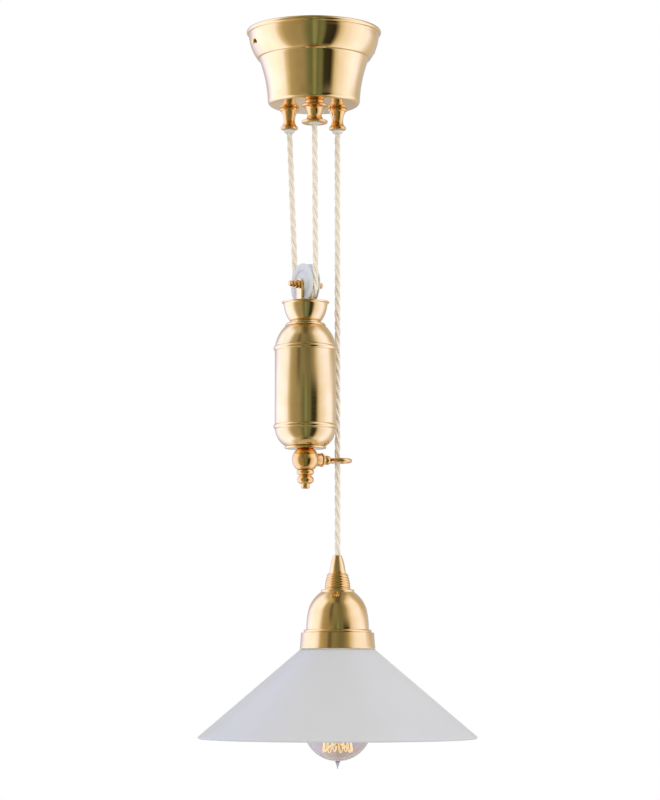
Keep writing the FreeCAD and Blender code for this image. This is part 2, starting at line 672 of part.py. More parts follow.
def weight_head():
    """Pulley wheel, its axle and nuts, the yoke and the cup that they stand in."""
    axle_line = pulley_line + 90
    hub, half = s["hubRadius"], s["wheelHalf"] + 0.2
    turned("pulley_wheel", wheel_outline(s["wheelRadius"], hub), weight_x, weight_y, pulley_z,
           axle_line, lying=True)
    turned("pulley_bush", [
        corner(-half, axle_hole), corner(-half, hub - 0.05), corner(half, hub - 0.05),
        corner(half, axle_hole),
    ], weight_x, weight_y, pulley_z, axle_line, lying=True)
    half_gap = s["wheelHalf"] + s["cheekGap"]
    yoke = new_body("pulley_yoke")
    cheeks(yoke, half_gap, s["yokeThick"], s["strapHalf"], s["yokeTop"], yoke_low - pulley_z,
           s["yokeThick"], s["strapHalf"])
    sketch = new_sketch(yoke, "RodHoleCircle", "XY_Plane")
    draw_circle(sketch, sized(0), sized(0), rod_hole)
    hole = yoke.newObject("PartDesign::Pocket", "RodHole")
    hole.Profile = sketch
    hole.Type = "ThroughAll"
    place(yoke, weight_x, weight_y, pulley_z, pulley_line)
    node(yoke)

    outer, pin, tip = half_gap + s["yokeThick"], s["axleRadius"], s["axleTip"]
    cap_end = outer + s["axleNutLong"] + s["axleCapLong"]
    end = s["axleEnd"]
    turned("pulley_axle", [
        corner(-end, 0), corner(-end, tip - 0.5), corner(0.5 - end, tip, 0.15), corner(-cap_end, tip),
        corner(-cap_end, pin), corner(cap_end, pin), corner(cap_end, tip),
        corner(end - 0.5, tip), corner(end, tip - 0.5, 0.15), corner(end, 0),
    ], weight_x, weight_y, pulley_z, axle_line, lying=True)
    nuts = []
    bore = pin + s["threadFit"]
    step = outer + s["axleNutLong"]
    for index in (0, 1):
        outline = [
            corner(outer, bore), corner(outer, s["axleNut"] - 0.3),
            corner(step - 0.4, s["axleNut"] - 0.1, 0.3), corner(step, s["axleCap"] - 0.2, 0.2),
            corner(cap_end, s["axleCap"] - 0.2, 0.25), corner(cap_end, bore),
        ]
        nuts.append(turned(f"axle_nut_{index}", outline, weight_x, weight_y, pulley_z,
                           axle_line + 180 * index, lying=True, keep=False))
    group("pulley_axle_nuts", nuts)

    outer_cup = [
        side(s["cupRim"] - 0.2, cup_top), side(s["cupRim"] - 0.4, cup_top - 1.4, 0.3),
        side(s["cupRim"] - 1.6, cup_top - 3.0, -0.3), floor(s["cupFloor"], cup_low, s["cupSwell"]),
        floor(rod_hole, cup_low),
    ]
    turned("weight_cup", shell(outer_cup, s["cupWall"]), weight_x, weight_y)


def weight_shell():
    """The shell: collar, two domes, two beads and the tube, round the ballast."""
    wall, radius = s["weightWall"], s["weightRadius"]
    turned("weight_collar", [
        corner(rod_hole, cup_low), corner(s["collarNeck"], cup_low),
        corner(s["collarNeck"], cup_low - 1.3), corner(s["collarDisc"] - 2.2, cup_low - 1.6),
        corner(s["collarDisc"], dome_top, 0.5), corner(rod_hole, dome_top),
    ], weight_x, weight_y)
    turned("weight_top_dome", shell([
        roof(rod_hole, dome_top), roof(s["domeShoulder"], dome_top),
        side(radius - 0.2, bead_top, s["domeSwell"]),
    ], wall), weight_x, weight_y)
    beads = []
    for label, top in (("upper_bead", bead_top), ("lower_bead", tube_low)):
        beads.append(turned(label, [
            corner(radius - wall, top), corner(radius + 0.2, top),
            corner(radius + 0.2, top - s["beadHigh"], 1.0), corner(radius - wall, top - s["beadHigh"]),
        ], weight_x, weight_y, keep=False))
    group("weight_beads", beads)
    turned("weight_tube", [
        corner(radius - wall, tube_top), corner(radius, tube_top), corner(radius, tube_low),
        corner(radius - wall, tube_low),
    ], weight_x, weight_y)
    turned("weight_bottom_dome", shell([
        side(radius - 0.2, lower_bead_low), floor(s["domeShoulder"], foot_top, s["lowDomeSwell"]),
        floor(rod_hole, foot_top),
    ], wall), weight_x, weight_y)

    slugs = []
    middle, wide, narrow = (tube_top + tube_low) / 2, s["endSlugFoot"], s["endSlugTop"]
    high = (s["tubeLong"] - s["slugSpare"]) / 3
    for index in (-1, 0, 1):
        top = middle + (high + s["slugGap"]) * index + high / 2
        slugs.append(slug(f"slug_{index + 1}", s["slugRadius"], s["slugRadius"], top, top - high))
    ends = high * 1.5 + s["slugGap"] * 2
    slugs.append(slug("slug_top", narrow, wide, dome_top - wall, middle + ends))
    slugs.append(slug("slug_low", wide, narrow, middle - ends, foot_top + wall))
    group("ballast_slugs", slugs)


def slug(label, top_radius, low_radius, top, low):
    outline = [corner(rod_hole, top), corner(top_radius, top), corner(low_radius, low),
               corner(rod_hole, low)]
    return turned(label, outline, weight_x, weight_y, keep=False)


def weight_foot():
    """Foot flange, ball with the guide's boss, finial, and the rod that draws all together."""
    radius = s["ballRadius"]
    turned("weight_foot", [
        corner(rod_hole, foot_top), corner(s["footRadius"] - 0.3, foot_top),
        corner(s["footRadius"] - 0.3, foot_low, 0.4), corner(rod_hole, foot_low),
    ], weight_x, weight_y)

    ball = new_body("weight_ball")
    up, down = foot_low - ball_z, ball_z - ball_low
    top_radius = root(radius * radius - up * up)
    low_radius = root(radius * radius - down * down)
    revolve(ball, [
        corner(rod_hole, up), corner(top_radius, up),
        corner(radius, 0, arc_swell(radius, radius - top_radius, up)),
        corner(low_radius, -down, arc_swell(radius, radius - low_radius, down)),
        corner(rod_hole, -down),
    ], "Ball")
    bore, reach, boss = s["shankRadius"] + s["runFit"], s["bossReach"], s["bossRadius"]
    depth = reach - s["shankDeep"]
    revolve(ball, [
        corner(rod_hole + 1.0, 0), corner(rod_hole + 1.0, boss), corner(reach - 0.6, boss),
        corner(reach, boss - 0.6), corner(reach, 0),
    ], "Boss", "H_Axis")
    sketch = new_sketch(ball, "ShankHoleOutline", "XZ_Plane")
    draw(sketch, [corner(depth, 0), corner(depth, bore), corner(reach + 1, bore), corner(reach + 1, 0)])
    hole = ball.newObject("PartDesign::Groove", "ShankHole")
    hole.Profile = sketch
    hole.ReferenceAxis = (sketch, ["H_Axis"])
    hole.Angle = 360
    place(ball, weight_x, weight_y, ball_z, guide_line)
    node(ball)

    lock, start = s["lockRadius"], reach + s["runFit"]
    turned("guide_lock_nut", [
        corner(start, bore), corner(start, lock - 0.4), corner(start + 0.4, lock),
        corner(start + s["lockLong"] - 0.4, lock), corner(start + s["lockLong"], lock - 0.4),
        corner(start + s["lockLong"], bore),
    ], weight_x, weight_y, ball_z, guide_line, lying=True)

    bead_low = ball_low - s["finialBead"]
    tip, neck = ball_low - s["finialBead"] - s["finialTip"], s["finialNeck"]
    turned("weight_finial", [
        corner(rod_hole, ball_low), corner(neck + 1.2, ball_low),
        corner(neck + 1.2, bead_low, 1.4), corner(neck, bead_low - 0.9, -0.2),
        corner(neck - 0.5, bead_low - s["finialBulbHigh"], s["finialBulb"] - neck + 0.2),
        corner(neck - 1.4, bead_low - s["finialStep"], -0.2), corner(neck - 1.0, tip + 0.8, 0.1),
        corner(0.5, tip, 0.15), corner(0, tip), corner(0, bead_low + 0.6), corner(rod_hole, bead_low + 0.6),
    ], weight_x, weight_y)
    rod, high = s["rodRadius"], yoke_low + s["yokeThick"] + s["nutHigh"] + s["stemShow"]
    turned("tie_rod", [
        corner(0, high), corner(rod - 0.4, high), corner(rod, high - 0.4),
        corner(rod, bead_low + 0.8), corner(0, bead_low + 0.8),
    ], weight_x, weight_y)
    node(nut("tie_rod_nut", s["strapHalf"], rod_hole, s["nutHigh"], weight_x, weight_y,
             yoke_low + s["yokeThick"]))


def arc_swell(radius, run_in, run_down):
    """How far an arc of this radius stands off the chord between two of its points."""
    half = span(run_in, run_down) / 2
    return radius - root(radius * radius - half * half)


def guide_ring():
    """Shank, knuckle and ring in one casting, level, with the lamp's flex through the ring."""
    ring = new_body("guide_ring")
    shank, knuckle, reach = s["shankRadius"], s["knuckleRadius"], s["knuckleReach"]
    start = s["bossReach"] - s["shankDeep"] + s["bodyClear"]
    near = guide_reach - s["ringRadius"]
    revolve(ring, [
        corner(start, 0), corner(start, shank), corner(reach - knuckle * 0.866, shank),
        corner(reach, knuckle, knuckle * 0.12), corner(reach + knuckle * 0.866, shank, knuckle * 0.12),
        corner(near, shank * 0.8), corner(near, 0),
    ], "Shank", "H_Axis")
    sketch = new_sketch(ring, "RingCircle", "XZ_Plane")
    draw_circle(sketch, guide_reach - s["ringRadius"], sized(0), s["ringWire"])
    line = sketch.addGeometry(
        Part.LineSegment(FreeCAD.Vector(guide_reach.number, -20, 0),
                         FreeCAD.Vector(guide_reach.number, 20, 0)), True)
    offset = sketch.ConstraintCount
    sketch.addConstraint([
        Sketcher.Constraint("Vertical", line),
        Sketcher.Constraint("DistanceX", -1, 1, line, 1, guide_reach.number),
        Sketcher.Constraint("DistanceY", -1, 1, line, 1, -20.0),
        Sketcher.Constraint("DistanceY", -1, 1, line, 2, 20.0),
    ])
    sketch.setExpression(f"Constraints[{offset + 1}]", guide_reach.formula)
    hoop = ring.newObject("PartDesign::Revolution", "Hoop")
    hoop.Profile = sketch
    hoop.ReferenceAxis = (sketch, ["Axis0"])
    hoop.Angle = 360
    place(ring, weight_x, weight_y, ball_z, guide_line)
    node(ring)


# ---------------------------------------------------------------- lamp
cone_top = -s["coneDrop"]
cone_low = cone_top - s["coneHigh"]
lamp_dome_top = cone_low - s["collarTall"]
gallery_top = lamp_dome_top - s["domeDrop"]
gallery_low = gallery_top - s["galleryHigh"] - s["stepHigh"]
shade_top = gallery_low - s["gasketThick"]
step_radius = s["domeRadius"] + s["stepWide"]
ledge_radius = step_radius + s["galleryLedge"]
gallery_radius = ledge_radius + s["galleryFlare"]
shade_under = shade_top - s["shadeWall"]
holder_top = lamp_dome_top - s["holderDrop"]
holder_low = holder_top - s["holderHigh"]
shell_top = holder_low + s["shellHigh"]


def lamp_top():
    """Cord grip, nipple, ribbed collar and the spun dome with its gallery."""
    cavity, nipple = s["nippleRadius"] + s["threadFit"], s["nippleRadius"]
    nipple_top = cone_low + s["coneHigh"] * 0.5
    turned("cord_grip_cone", [
        corner(cord_hole, cone_top), corner(s["coneTip"] - 0.9, cone_top),
        corner(s["coneTip"], cone_top - 1.0, 0.3), corner(s["coneFoot"], cone_low, s["coneSwell"]),
        corner(cavity, cone_low), corner(cavity, nipple_top), corner(cord_hole, nipple_top + s["gripHigh"]),
    ], right_x, right_y)
    nipple_low = nipple_top - s["nippleLong"]
    turned("threaded_nipple", [
        corner(s["nippleBore"], nipple_top), corner(nipple, nipple_top), corner(nipple, nipple_low),
        corner(s["nippleBore"], nipple_low),
    ], right_x, right_y)

    ribbed = [corner(cavity, cone_low), corner(s["ribbedTop"] - 0.8, cone_low),
              corner(s["ribbedTop"], cone_low - 1.2, 0.3)]
    pitch = (s["collarTall"] - 2.6) / RIBS
    for index in range(RIBS):
        share = (index + 1) / RIBS
        radius = s["ribbedTop"] + (s["ribbedFoot"] - s["ribbedTop"]) * (share * (2 - share))
        ribbed.append(corner(radius - 0.3, cone_low - 1.2 - pitch * (index + 1), 0.4))
    ribbed += [corner(s["ribbedFoot"], lamp_dome_top, 0.3), corner(cavity, lamp_dome_top)]
    turned("ribbed_collar", ribbed, right_x, right_y)

    wall = s["lampWall"]
    mid = lamp_dome_top - s["domeMidDrop"]
    turned("lamp_dome", shell([
        roof(cavity, lamp_dome_top), roof(s["domeTop"] - 0.6, lamp_dome_top),
        side(s["domeTop"] - 0.1, lamp_dome_top - 2.0, 0.4), side(s["domeMid"], mid, 1.5),
        side(s["domeRadius"], gallery_top, 0.5),
    ], wall), right_x, right_y)
    step_low = gallery_top - s["stepHigh"]
    turned("shade_gallery", shell([
        roof(s["holderRadius"] + s["bodyClear"], gallery_top),
        elbow(step_radius - 0.5, gallery_top), elbow(step_radius - 0.2, step_low, 0.5),
        elbow(ledge_radius, step_low), side(gallery_radius, gallery_low + 1.2),
        side(gallery_radius + s["galleryLip"], gallery_low),
    ], wall), right_x, right_y)
    node(nut("nipple_nut", s["nutAcross"], cavity, s["nutHigh"], right_x, right_y,
             lamp_dome_top - wall - s["nutHigh"]))


def lampholder():
    """Porcelain E27 lampholder, its screw shell and contact, and the rings that clamp the shade."""
    radius, high, bore = s["holderRadius"], holder_top, s["shellRadius"] + s["shellWall"]
    socket = bore + s["threadFit"]
    turned("lampholder_body", [
        corner(s["nippleRadius"] + s["threadFit"], high), corner(s["holderTop"], high),
        corner(s["holderTop"], high - 1.5), corner(radius - 2.5, high - s["holderShoulder"] + 2, 1.0),
        corner(radius, high - s["holderShoulder"], 0.4), corner(radius, holder_low),
        corner(socket, holder_low), corner(socket, shell_top), corner(5.5, shell_top),
        corner(5.5, shell_top + 4), corner(s["nippleRadius"] + s["threadFit"], shell_top + 4),
    ], right_x, right_y)
    turned("lampholder_shell", [
        corner(s["contactHalf"] + 4, shell_top), corner(bore, shell_top), corner(bore, holder_low),
        corner(s["shellRadius"], holder_low), corner(s["shellRadius"], shell_top - s["shellWall"]),
        corner(s["contactHalf"] + 4, shell_top - s["shellWall"]),
    ], right_x, right_y)
    turned("centre_contact", [
        corner(0, shell_top), corner(5.4, shell_top), corner(5.4, shell_top - s["contactThick"]),
        corner(s["contactHalf"], shell_top - s["contactThick"] - 0.6),
        corner(0, shell_top - s["contactThick"] - 0.6),
    ], right_x, right_y)
    hole, ring = radius + s["threadFit"], s["ringNutRadius"]
    gallery_under = gallery_top - s["lampWall"]
    turned("gallery_ring_nut", [
        corner(hole, gallery_under), corner(ring, gallery_under),
        corner(ring, gallery_under - s["ringNutHigh"]), corner(hole, gallery_under - s["ringNutHigh"]),
    ], right_x, right_y)
    turned("shade_ring_nut", [
        corner(hole, shade_under), corner(ring + 0.5, shade_under),
        corner(ring + 0.5, shade_under - 1.4, 0.3), corner(radius + 3.0, shade_under - 1.8),
        corner(radius + 2.6, shade_under - s["ringNutHigh"], 0.2),
        corner(hole, shade_under - s["ringNutHigh"]),
    ], right_x, right_y)
    turned("rim_gasket", [
        corner(gallery_radius - s["lampWall"], gallery_low), corner(s["shadeTop"] - 0.2, gallery_low),
        corner(s["shadeTop"] - 0.2, shade_top), corner(gallery_radius - s["lampWall"], shade_top),
    ], right_x, right_y)


def glass_shade():
    """Opal cone: a flat clamped top and a straight flared wall of even thickness."""
    wall, top, rim = s["shadeWall"], s["shadeTop"], s["shadeRadius"]
    low = shade_top - s["shadeHigh"]
    flare, drop = rim - top, s["shadeHigh"]
    slant = span(flare, drop)
    across, down = wall * slant / drop, wall * slant / flare
    inner_top = top - across + wall * flare / drop
    turned("glass_shade", [
        corner(s["shadeHole"], shade_top), corner(top - 0.8, shade_top),
        corner(top + 0.6, shade_top - 0.9, 0.2), corner(rim, low + 0.6),
        corner(rim - across + 1.0, low, 1.2), corner(inner_top, shade_under),
        corner(s["shadeHole"], shade_under),
    ], right_x, right_y)


# ---------------------------------------------------------------- bulb
button_top = shell_top - s["contactThick"] - 0.6 - s["bodyClear"]
insulator_top = button_top - s["buttonHigh"]
cap_top = insulator_top - s["insulatorHigh"]
cap_low = cap_top - s["capHigh"]


def bulb():
    """Carbon filament bulb: cap, insulator, contact button, glass with its pip, stem and cage."""
    cap, neck, wall = s["capRadius"], s["bulbNeck"], s["bulbWall"]
    turned("bulb_contact", [
        corner(0, button_top), corner(s["buttonRadius"] - 1.0, button_top),
        corner(s["buttonRadius"], insulator_top, 0.4), corner(0, insulator_top),
    ], right_x, right_y)
    turned("bulb_insulator", [
        corner(0, insulator_top), corner(s["buttonRadius"] + 0.8, insulator_top),
        corner(cap - 2.6, cap_top, -0.3), corner(0, cap_top),
    ], right_x, right_y)
    turned("bulb_cap", shell([
        roof(0, cap_top), roof(cap - 2.4, cap_top), side(cap - 0.3, cap_top - 2.2, 0.3),
        side(cap, cap_low),
    ], s["shellWall"]), right_x, right_y)
    inside = cap - s["shellWall"] - s["threadFit"] * 3
    ball_centre = cap_low - s["bulbDrop"]
    shoulder_down = root(s["bulbRadius"] * s["bulbRadius"] - s["bulbShoulder"] * s["bulbShoulder"])
    low = ball_centre - s["bulbRadius"]
    pip_root = s["pipRadius"] + 1.2
    pip_seat = ball_centre - root(s["bulbRadius"] * s["bulbRadius"] - pip_root * pip_root)
    upper = arc_swell(s["bulbRadius"], s["bulbRadius"] - s["bulbShoulder"], shoulder_down)
    lower = arc_swell(s["bulbRadius"], s["bulbRadius"] - pip_root, ball_centre - pip_seat)
    inner_low = ball_centre - s["bulbRadius"] + wall
    turned("bulb_glass", [
        corner(inside - wall, cap_low + s["bulbTuck"]), corner(inside, cap_low + s["bulbTuck"]),
        corner(inside, cap_low),
        corner(neck, cap_low - 3.0, 0.3), corner(neck + 0.4, cap_low - s["bulbNeckHigh"]),
        corner(s["bulbShoulder"], ball_centre + shoulder_down, -s["neckHollow"]),
        corner(s["bulbRadius"], ball_centre, upper), corner(pip_root, pip_seat, lower),
        corner(s["pipRadius"] - 0.6, low - 1.2, -0.5), corner(0.7, low - s["pipLong"], -0.2),
        corner(0, low - s["pipLong"] - 0.3), corner(0, inner_low),
        corner(s["bulbRadius"] - wall, ball_centre, -(s["bulbRadius"] - wall) * 0.29),
        corner(s["bulbShoulder"] - wall, ball_centre + shoulder_down, -upper),
        corner(neck + 0.4 - wall, cap_low - s["bulbNeckHigh"], s["neckHollow"]),
        corner(neck - wall, cap_low - 3.0), corner(inside - wall, cap_low, -0.3),
    ], right_x, right_y)

    stem, foot, rod, button = s["stemRadius"], cap_low + s["stemFoot"], s["stemRod"], s["stemButton"]
    tip = foot - s["stemLong"]
    turned("bulb_stem", [
        corner(0, foot), corner(inside - wall - 0.2, foot), corner(inside - wall - 0.2, foot - 1.5),
        corner(stem + 2.0, foot - s["stemFlare"], -1.6), corner(stem, foot - s["stemPinch"]),
        corner(rod, foot - s["stemTaper"], 0.5),
        corner(rod, tip + 4.0), corner(button, tip + 2.6, -0.2), corner(button, tip + 1.4),
        corner(1.0, tip, 0.3), corner(0, tip),
    ], right_x, right_y)

    # the carbon thread runs up and down between its bends, and hooks hold the lower ones
    high, reach = cap_low - s["cageDrop"], s["cageRadius"]
    low, wire = high - s["cageHigh"], s["cageWire"].number
    pitch = 180 / CAGE_LOOPS
    wires = []
    for index in range(2 * CAGE_LOOPS):
        lean = 0.5 if index % 2 == 0 else -0.5
        bend_low = cage_point(reach, pitch * (index + lean), low)
        bend_high = cage_point(reach * 0.6, pitch * (index - lean), high)
        wires += [rod_between(bend_low, bend_high, wire), Part.makeSphere(wire, bend_low),
                  Part.makeSphere(wire, bend_high)]
        if index % 2 == 0:
            hub = cage_point(button + 0.15, pitch * (index + lean), tip + 2.0)
            wires.append(rod_between(hub, bend_low, wire * 0.8))
    filament = doc.addObject("Part::Feature", "bulb_filament")
    filament.Label = "bulb_filament"
    filament.Shape = wires[0].multiFuse(wires[1:])
    node(filament)


def cage_point(radius, angle, z):
    angle = math.radians(angle)
    return FreeCAD.Vector(right_x.number + radius.number * math.cos(angle),
                          right_y.number + radius.number * math.sin(angle), z.number)


def rod_between(start, end, radius):
    return Part.makeCylinder(radius, (end - start).Length, start, end - start)


# ---------------------------------------------------------------- flex
def flex():
    """The flex from its terminals over the anchor, round the pulley, over the sheave, to the lamp."""
    radius, gap = s["cordRadius"].number, s["cordClear"].number
    mouth = (canopy_floor - s["nozzleLong"]).number
    line = math.radians(pulley_line.number)
    reach = FreeCAD.Vector(math.cos(line), math.sin(line), 0) * s["wheelRadius"].number
    centre = point(weight_x, weight_y, pulley_z)
    front, back = centre + reach, centre - reach

    tail_top = canopy_floor.number + s["tailRise"].number
    clamped = FreeCAD.Vector(anchor_x.number, anchor_y.number, mouth)
    bend = FreeCAD.Vector(anchor_x.number, anchor_y.number, tail_top)
    block_top = (plate_top + s["terminalHigh"]).number
    over = FreeCAD.Vector(s["terminalX"].number, s["terminalY"].number, tail_top)
    landed = FreeCAD.Vector(over.x, over.y, block_top)
    tube("cord_tail", Part.Wire([
        run(clamped, bend), half_turn(bend, over, (over - bend).Length / 2), run(over, landed),
    ]), radius)

    start = FreeCAD.Vector(clamped.x, clamped.y, mouth - gap)
    straight = (front - start).normalize()
    tube("cord_anchor_run", Part.Wire([run(start, front - straight * gap)]), radius)
    tube("cord_pulley_wrap", Part.Wire([half_turn(front, back, -s["wheelRadius"].number)]), radius)

    left = FreeCAD.Vector(left_x.number, left_y.number, mouth)
    right = FreeCAD.Vector(right_x.number, right_y.number, mouth)
    start = left - FreeCAD.Vector(0, 0, gap)
    straight = (back - start).normalize()
    tube("cord_return_run", Part.Wire([run(start, back - straight * gap)]), radius)

    sheave_left = FreeCAD.Vector(left.x, left.y, sheave_z.number)
    sheave_right = FreeCAD.Vector(right.x, right.y, sheave_z.number)
    tube("cord_over_sheave", Part.Wire([
        run(left, sheave_left), half_turn(sheave_left, sheave_right, sheave_radius.number),
        run(sheave_right, right),
    ]), radius)
    held = FreeCAD.Vector(right.x, right.y, (holder_top + 1).number)
    tube("cord_lamp_run", Part.Wire([run(right - FreeCAD.Vector(0, 0, gap), held)]), radius)


ceiling_cup()
ceiling_strap()
load_plate()
nozzles()
cord_ferrule()
terminals()
ceiling_sheave()
weight_head()
weight_shell()
weight_foot()
guide_ring()
lamp_top()
lampholder()
glass_shade()
bulb()
flex()

doc.recompute()
for thing in doc.Objects:
    if "Invalid" in thing.State or "Error" in thing.State:
        raise RuntimeError(f"{thing.Label} did not build: {thing.State}")
os.makedirs("parts", exist_ok=True)
for piece in nodes:
    if piece.Shape.isNull() or not piece.Shape.isValid():
        raise RuntimeError(f"{piece.Label} has no valid shape")
    piece.Shape.exportStep(f"parts/{piece.Label}.step")
print(f"{len(nodes)} nodes written")
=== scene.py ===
import math
import bmesh
import bpy
from mathutils import Matrix, Vector


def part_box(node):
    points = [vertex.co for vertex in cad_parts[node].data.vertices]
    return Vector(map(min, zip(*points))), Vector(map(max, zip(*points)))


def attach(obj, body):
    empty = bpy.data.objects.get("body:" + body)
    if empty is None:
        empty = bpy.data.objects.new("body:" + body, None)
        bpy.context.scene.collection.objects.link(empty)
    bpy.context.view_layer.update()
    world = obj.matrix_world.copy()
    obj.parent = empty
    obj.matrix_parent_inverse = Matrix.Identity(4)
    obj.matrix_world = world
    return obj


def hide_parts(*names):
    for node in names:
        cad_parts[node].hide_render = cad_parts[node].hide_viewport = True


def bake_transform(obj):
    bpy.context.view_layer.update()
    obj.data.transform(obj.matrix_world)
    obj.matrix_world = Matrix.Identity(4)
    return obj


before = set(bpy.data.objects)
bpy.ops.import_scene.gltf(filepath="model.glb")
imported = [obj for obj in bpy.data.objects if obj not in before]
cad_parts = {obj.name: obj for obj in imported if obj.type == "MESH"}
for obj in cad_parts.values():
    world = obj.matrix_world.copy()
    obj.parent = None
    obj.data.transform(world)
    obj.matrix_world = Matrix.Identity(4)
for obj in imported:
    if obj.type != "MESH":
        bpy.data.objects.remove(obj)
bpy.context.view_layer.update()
print("stage: frame loaded,", len(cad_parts), "nodes")

mm = 0.001
scene = bpy.context.scene

# ---- camera: level with the lamp, tilted up a little, about 2.3 m away
studio = {
    "cameraPlace": (0.0139, -2.294, -0.544),
    "tiltUp": 5.57,
    "lens": 121.8,
    "floorDrop": 2.1,
    "floorRadius": 12.0,
    "backgroundBright": 1.0,
    # what the brass mirrors: each stop is a place, a brightness and how olive it is, if it is
    # level and low go round by degrees to the right of the camera, steep goes from left (-1) to right (1)
    "level": ((-180, 0.6), (-150, 0.65), (-130, 1.15), (-118, 1.35), (-80, 1.3),
              (-68, 1.1), (-58, 0.58), (-48, 0.44), (-36, 0.36), (-29, 0.17), (-23, 0.15),
              (-17, 0.28, 0.3), (-6, 0.28, 0.4), (5, 0.22, 0.4), (16, 0.22, 0.4), (24, 0.27),
              (34, 0.42), (44, 0.8), (58, 1.1), (80, 1.25), (98, 1.2), (110, 0.85),
              (124, 0.6), (180, 0.55)),
    "low": ((-180, 0.6), (-160, 0.6), (-140, 1.1), (-122, 1.4), (-90, 1.4), (-74, 1.2),
            (-64, 0.75), (-55, 0.48), (-40, 0.4), (-24, 0.37), (-17, 0.3, 0.4), (-12, 0.24, 1),
            (-4, 0.2, 1), (1, 0.4, 1), (5, 0.34, 1), (9, 0.19, 1), (14, 0.25, 1), (19, 0.22, 1),
            (24, 0.05, 0.5), (40, 0.03), (45, 0.3), (50, 0.75), (60, 1.0), (95, 1.3),
            (113, 1.2), (132, 0.75), (180, 0.5)),
    "steep": ((-1, 1.0), (-0.62, 1.0), (-0.48, 0.7), (-0.28, 0.55), (-0.17, 0.3),
              (-0.07, 0.13), (0.1, 0.13), (0.2, 0.3), (0.32, 0.42), (0.42, 0.8),
              (0.55, 1.0), (1, 1.05)),
    "levelFade": (-0.05, 0.35),   # the height of a direction where low gives way to level
    "steepFade": (0.74, 0.92),    # and where both give way to steep
    "olive": (0.76, 1.0, 0.82),
    "daylight": (0, 0.2, 1.45),   # what the brightest stops gain in red, green and blue
    "roomTop": 5.0,               # the brightest a stop can be
}

cameraData = bpy.data.cameras.new("camera")
cameraData.lens = studio["lens"]
cameraData.clip_start = 0.01
cameraData.clip_end = 50
camera = bpy.data.objects.new("camera", cameraData)
camera.location = studio["cameraPlace"]
camera.rotation_euler = (math.radians(90 + studio["tiltUp"]), 0, 0)
scene.collection.objects.link(camera)
scene.camera = camera
scene.view_settings.view_transform = "Standard"


# ---- materials
def linear(hexColour):
    parts = [int(hexColour[i:i + 2], 16) / 255 for i in (1, 3, 5)]
    return tuple(c / 12.92 if c <= 0.04045 else ((c + 0.055) / 1.055) ** 2.4 for c in parts) + (1.0,)


def addNode(tree, kind, inputs=None, **settings):
    node = tree.nodes.new(kind)
    for name, value in settings.items():
        setattr(node, name, value)
    for socket, value in (inputs or {}).items():
        if isinstance(value, bpy.types.NodeSocket):
            tree.links.new(value, node.inputs[socket])
        else:
            node.inputs[socket].default_value = value
    return node


def calc(tree, operation, *values):
    return addNode(tree, "ShaderNodeMath", dict(enumerate(values)), operation=operation).outputs[0]


def spread(tree, value, start, end, low=0.0, high=1.0, **settings):
    # what lies between start and end, drawn out to lie between low and high
    return addNode(tree, "ShaderNodeMapRange", {"Value": value, "From Min": start, "From Max": end,
                                                "To Min": low, "To Max": high}, **settings).outputs["Result"]


def cloud(tree, place, sizeMm, detail):
    return addNode(tree, "ShaderNodeTexNoise", {"Vector": place, "Scale": 1000 / sizeMm,
                                                "Detail": detail}).outputs["Fac"]


def relief(tree, height, strength, deepMm):
    return addNode(tree, "ShaderNodeBump", {"Height": height, "Strength": strength,
                                            "Distance": deepMm * mm}).outputs["Normal"]


def mixColour(tree, share, first, second):
    return addNode(tree, "ShaderNodeMixRGB", {"Fac": share, "Color1": first,
                                              "Color2": second}).outputs["Color"]


def patchyColour(tree, place, light, dark, patchMm, amount):
    # soft patches of a second colour, patchMm across
    share = spread(tree, cloud(tree, place, patchMm, 3.0), 0.35, 0.75, 0.0, amount)
    return mixColour(tree, share, linear(light), linear(dark))


def newMaterial(name):
    # a material with an empty tree, and the place on the object that its pattern is read from
    material = bpy.data.materials.new(name)
    material.use_nodes = True
    tree = material.node_tree
    tree.nodes.clear()
    return material, tree, addNode(tree, "ShaderNodeTexCoord").outputs["Object"]


def surfaced(material, inputs):
    shader = addNode(material.node_tree, "ShaderNodeBsdfPrincipled", inputs)
    addNode(material.node_tree, "ShaderNodeOutputMaterial", {"Surface": shader.outputs["BSDF"]})
    return material


def spunMetal(name, light, dark, roughLow, roughHigh, lineMm=0.9):
    # lathe-turned sheet metal: level turning lines a few microns deep, and cloudy tarnish
    material, tree, place = newMaterial(name)
    stretched = addNode(tree, "ShaderNodeMapping", {"Vector": place, "Scale": (12, 12, 1000 / lineMm)})
    lines = cloud(tree, stretched.outputs["Vector"], 1000, 2.0)
    # a thin clear lacquer over the brass whitens its brightest reflections
    return surfaced(material, {
        "Base Color": patchyColour(tree, place, light, dark, 14, 0.6), "Metallic": 1.0,
        "Roughness": spread(tree, lines, 0.3, 0.7, roughLow, roughHigh), "Coat Weight": 0.5,
        "Coat Roughness": 0.05, "Normal": relief(tree, lines, 0.35, 0.004)})


def castMetal(name, light, dark, roughLow, roughHigh, grainMm=0.8, deep=0.02, metallic=1.0):
    # cast, rolled or pressed stock: no turning lines, a fine even grain
    material, tree, place = newMaterial(name)
    grain = cloud(tree, place, grainMm, 4.0)
    return surfaced(material, {
        "Base Color": patchyColour(tree, place, light, dark, 6, 0.7), "Metallic": metallic,
        "Roughness": spread(tree, grain, 0.3, 0.7, roughLow, roughHigh),
        "Normal": relief(tree, grain, 0.4, deep)})


